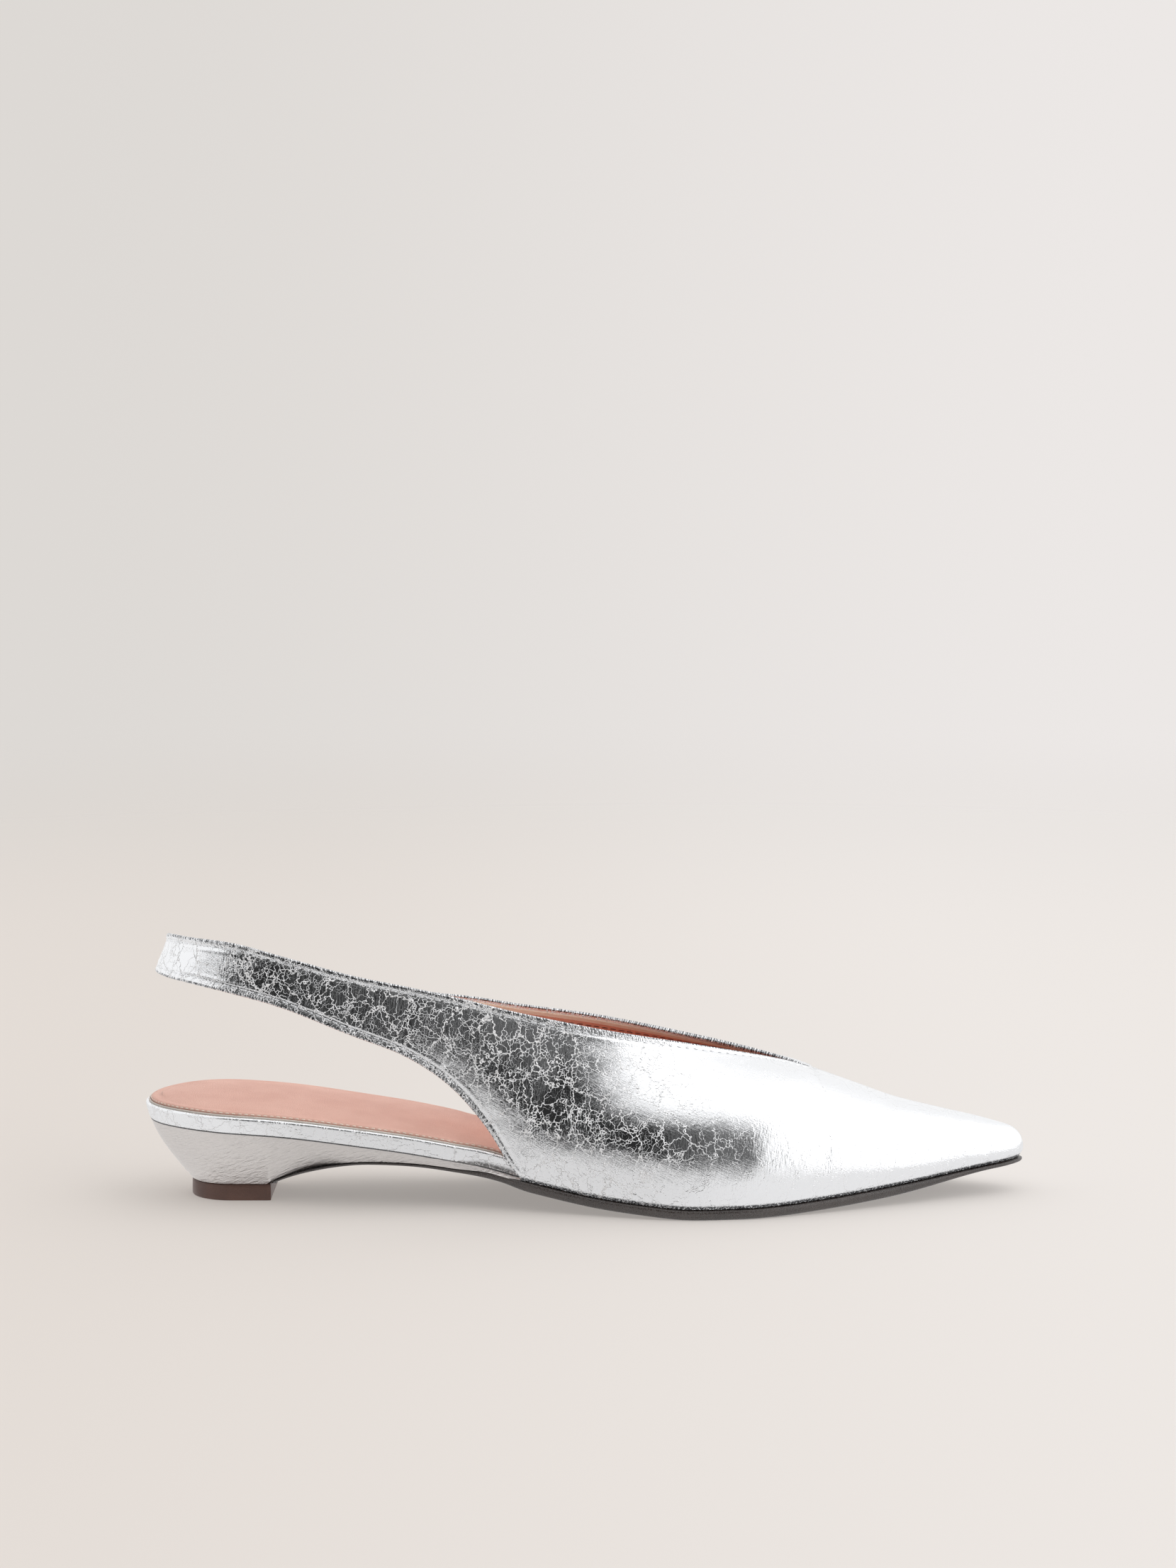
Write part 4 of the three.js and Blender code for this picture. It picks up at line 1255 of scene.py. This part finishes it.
studio = {
    "floorPaintedDimLeft": rgb(217, 210, 204),
    "floorPaintedLitRight": rgb(227, 222, 218),
    "floorWide": 0.2,        # metres; the floor's painted light grows from the dimmer left to the brighter right this far out
    "floorGlow": 0.42,       # share of the floor's light that no shadow dims
    "floorReach": 1.6,       # metres; the floor fades into the backdrop before this
    "floorFade": (0.4, 1.52),
    # the backdrop's painted light, dimmer on the left and brighter on the right
    "backdropPaintedDimLeft": rgb(221, 217, 213),
    "backdropPaintedLitRight": rgb(236, 232, 230),
    "backdropWide": 0.17,
    "mirrored": rgb(248, 249, 250),   # the floor as the silver mirrors it
    "mirroredGlow": 0.62,
    "mirroredReach": 0.5,
    "mirroredFront": (-0.165, -0.15),   # metres; it fades out here towards the camera
    "mirroredShadow": 0.8,              # its light under the middle of the shoe
    "shadowStart": (-0.115, -0.08),
    "shadowEnd": (0.0, 0.07),
    "discAround": 64,
    "distance": 1050 * mm,
    "height": 245 * mm,
    "pitch": 6.488,          # degrees down
    "lens": 80.31,
    "sideways": 0.65 * mm,
}
# The surroundings by compass: 0 is towards the camera, degrees grow towards the toe
surround = {
    "leftLight": 0.98,
    "leftEdge": (-74, -66),
    "rightLight": 1.5,
    "rightLamp": 2.1,        # the same light as it falls on the floor and the sock
    "rightEdge": (20, 54),
    "rightFade": (105, 160),   # dims to the light of the left side behind the shoe
    "dark": 0.022,
    "grey": 0.13,            # the dark side towards the camera turns grey towards the toe
    "greyEdge": (-10, 4),
    "topLight": 1.12,
    "topEdge": (24, 60),
}


def finishFloor(graph, colour, glow, strength, solid):
    # glow is the share of the colour that gives its own light
    graph.finish({
        "Base Color": graph.colour(glow, colour, (0, 0, 0, 1)),
        "Roughness": 0.9,
        "Specular IOR Level": 0.0,
        "Emission Color": colour,
        "Emission Strength": strength,
        "Alpha": solid,
    })


def floorDisc(name, radius, material):
    around = studio["discAround"]
    angles = [2 * math.pi * k / around for k in range(around)]
    rim = [(radius * math.cos(angle), radius * math.sin(angle), 0) for angle in angles]
    mesh = bpy.data.meshes.new(name)
    mesh.from_pydata(rim, [], [tuple(range(around))])
    return linkMesh(name, mesh, material)


# the seen floor isn't mirrored
floorLook = bpy.data.materials.new("studioFloor")
graph = Graph(floorLook)
# painted light: the floor's colour is lighter towards the right, where the light comes from
across = graph.ramp(graph.part(graph.place(), 0), -studio["floorWide"], studio["floorWide"])
colour = graph.colour(across, studio["floorPaintedDimLeft"], studio["floorPaintedLitRight"])
away = graph.vector("LENGTH", graph.place(), output="Value")
solid = graph.ramp(away, *studio["floorFade"], 1.0, 0.0)
finishFloor(graph, colour, studio["floorGlow"], studio["floorGlow"], solid)
floor = floorDisc("floor", studio["floorReach"], floorLook)
floor.visible_glossy = False

# a smaller one with a soft front is, so that what stands before it can stay dark
mirroredLook = bpy.data.materials.new("mirroredFloor")
graph = Graph(mirroredLook)
fromLeft = graph.part(graph.place(), 0)
shadow = graph.times(graph.ramp(fromLeft, *studio["shadowStart"]),
                     graph.ramp(fromLeft, *studio["shadowEnd"], 1.0, 0.0))
mirroredGlow = studio["mirroredGlow"]
strength = graph.line(shadow, 0.0, 1.0, mirroredGlow, mirroredGlow * studio["mirroredShadow"])
solid = graph.ramp(graph.part(graph.place(), 1), *studio["mirroredFront"])
finishFloor(graph, studio["mirrored"], mirroredGlow, strength, solid)
mirroredFloor = floorDisc("mirroredFloor", studio["mirroredReach"], mirroredLook)

# a light panel close by on the left, which only the silver shows
panel = {
    "edge": (-0.36, -0.325),     # where it fades out, in metres from the middle of the shoe
    "end": -1.7,
    "forward": -0.54,
    "height": 1.4,
    "light": 0.98,
}
panelLook = bpy.data.materials.new("sidePanel")
graph = Graph(panelLook)
shine = graph.ramp(graph.part(graph.place(), 0), *panel["edge"], panel["light"], surround["dark"])
glow = graph.add("ShaderNodeEmission", {"Color": (1, 1, 1, 1), "Strength": shine})
graph.add("ShaderNodeOutputMaterial", {"Surface": glow.outputs[0]})
panelMesh = bpy.data.meshes.new("sidePanel")
panelEnds = (panel["end"], panel["edge"][1] + 0.02)
panelCorners = [(x, panel["forward"], z) for z in (0, panel["height"]) for x in panelEnds]
panelMesh.from_pydata(panelCorners, [], [(0, 1, 3, 2)])
sidePanel = linkMesh("sidePanel", panelMesh, panelLook)
for mirroredOnly in (mirroredFloor, sidePanel):
    mirroredOnly.visible_camera = False
    mirroredOnly.visible_diffuse = False
    mirroredOnly.visible_shadow = False
    mirroredOnly.visible_transmission = False

world = bpy.data.worlds.new("studio")
bpy.context.scene.world = world
sky = Graph(world)
direction = sky.add("ShaderNodeTexCoord").outputs["Generated"]
parts = sky.add("ShaderNodeSeparateXYZ", {0: direction})
backwards = sky.times(parts.outputs[1], -1.0)
compass = sky.math("DEGREES", sky.math("ARCTAN2", parts.outputs[0], backwards))
raised = sky.math("DEGREES", sky.math("ARCSINE", parts.outputs[2]))
leftBox = sky.ramp(compass, *surround["leftEdge"], surround["leftLight"], 0.0)
onFloor = sky.ray("Is Diffuse Ray")
rightStrength = sky.line(onFloor, 0.0, 1.0, surround["rightLight"], surround["rightLamp"])
rightBox = sky.times(sky.ramp(compass, *surround["rightEdge"]), rightStrength)
behind = sky.ramp(compass, *surround["rightFade"], 1.0, surround["leftLight"] / surround["rightLight"])
sides = sky.plus(leftBox, sky.times(rightBox, behind))
facing = sky.ramp(compass, *surround["greyEdge"], surround["dark"], surround["grey"])
above = sky.times(sky.ramp(raised, *surround["topEdge"]), surround["topLight"])
light = sky.most(above, sky.most(sides, facing))
surroundings = sky.add("ShaderNodeBackground", {"Color": (1, 1, 1, 1), "Strength": light})
# painted light: the backdrop the camera sees is lighter towards the right
across = sky.ramp(parts.outputs[0], -studio["backdropWide"], studio["backdropWide"])
paintedBackdropLight = sky.colour(across, studio["backdropPaintedDimLeft"], studio["backdropPaintedLitRight"])
plain = sky.add("ShaderNodeBackground", {"Color": paintedBackdropLight, "Strength": 1.0})
seen = sky.ray("Is Camera Ray")
both = sky.add("ShaderNodeMixShader", {0: seen, 1: surroundings.outputs[0], 2: plain.outputs[0]})
sky.add("ShaderNodeOutputWorld", {"Surface": both.outputs[0]})

cameraData = bpy.data.cameras.new("camera")
cameraData.sensor_width = 36
cameraData.lens = studio["lens"]
cameraData.clip_end = 100
camera = bpy.data.objects.new("camera", cameraData)
camera.location = (studio["sideways"], -studio["distance"], studio["height"])
camera.rotation_euler = (math.radians(90 - studio["pitch"]), 0, 0)
bpy.context.scene.collection.objects.link(camera)
bpy.context.scene.camera = camera
bpy.context.scene.view_settings.view_transform = "Standard"
print("studio set")
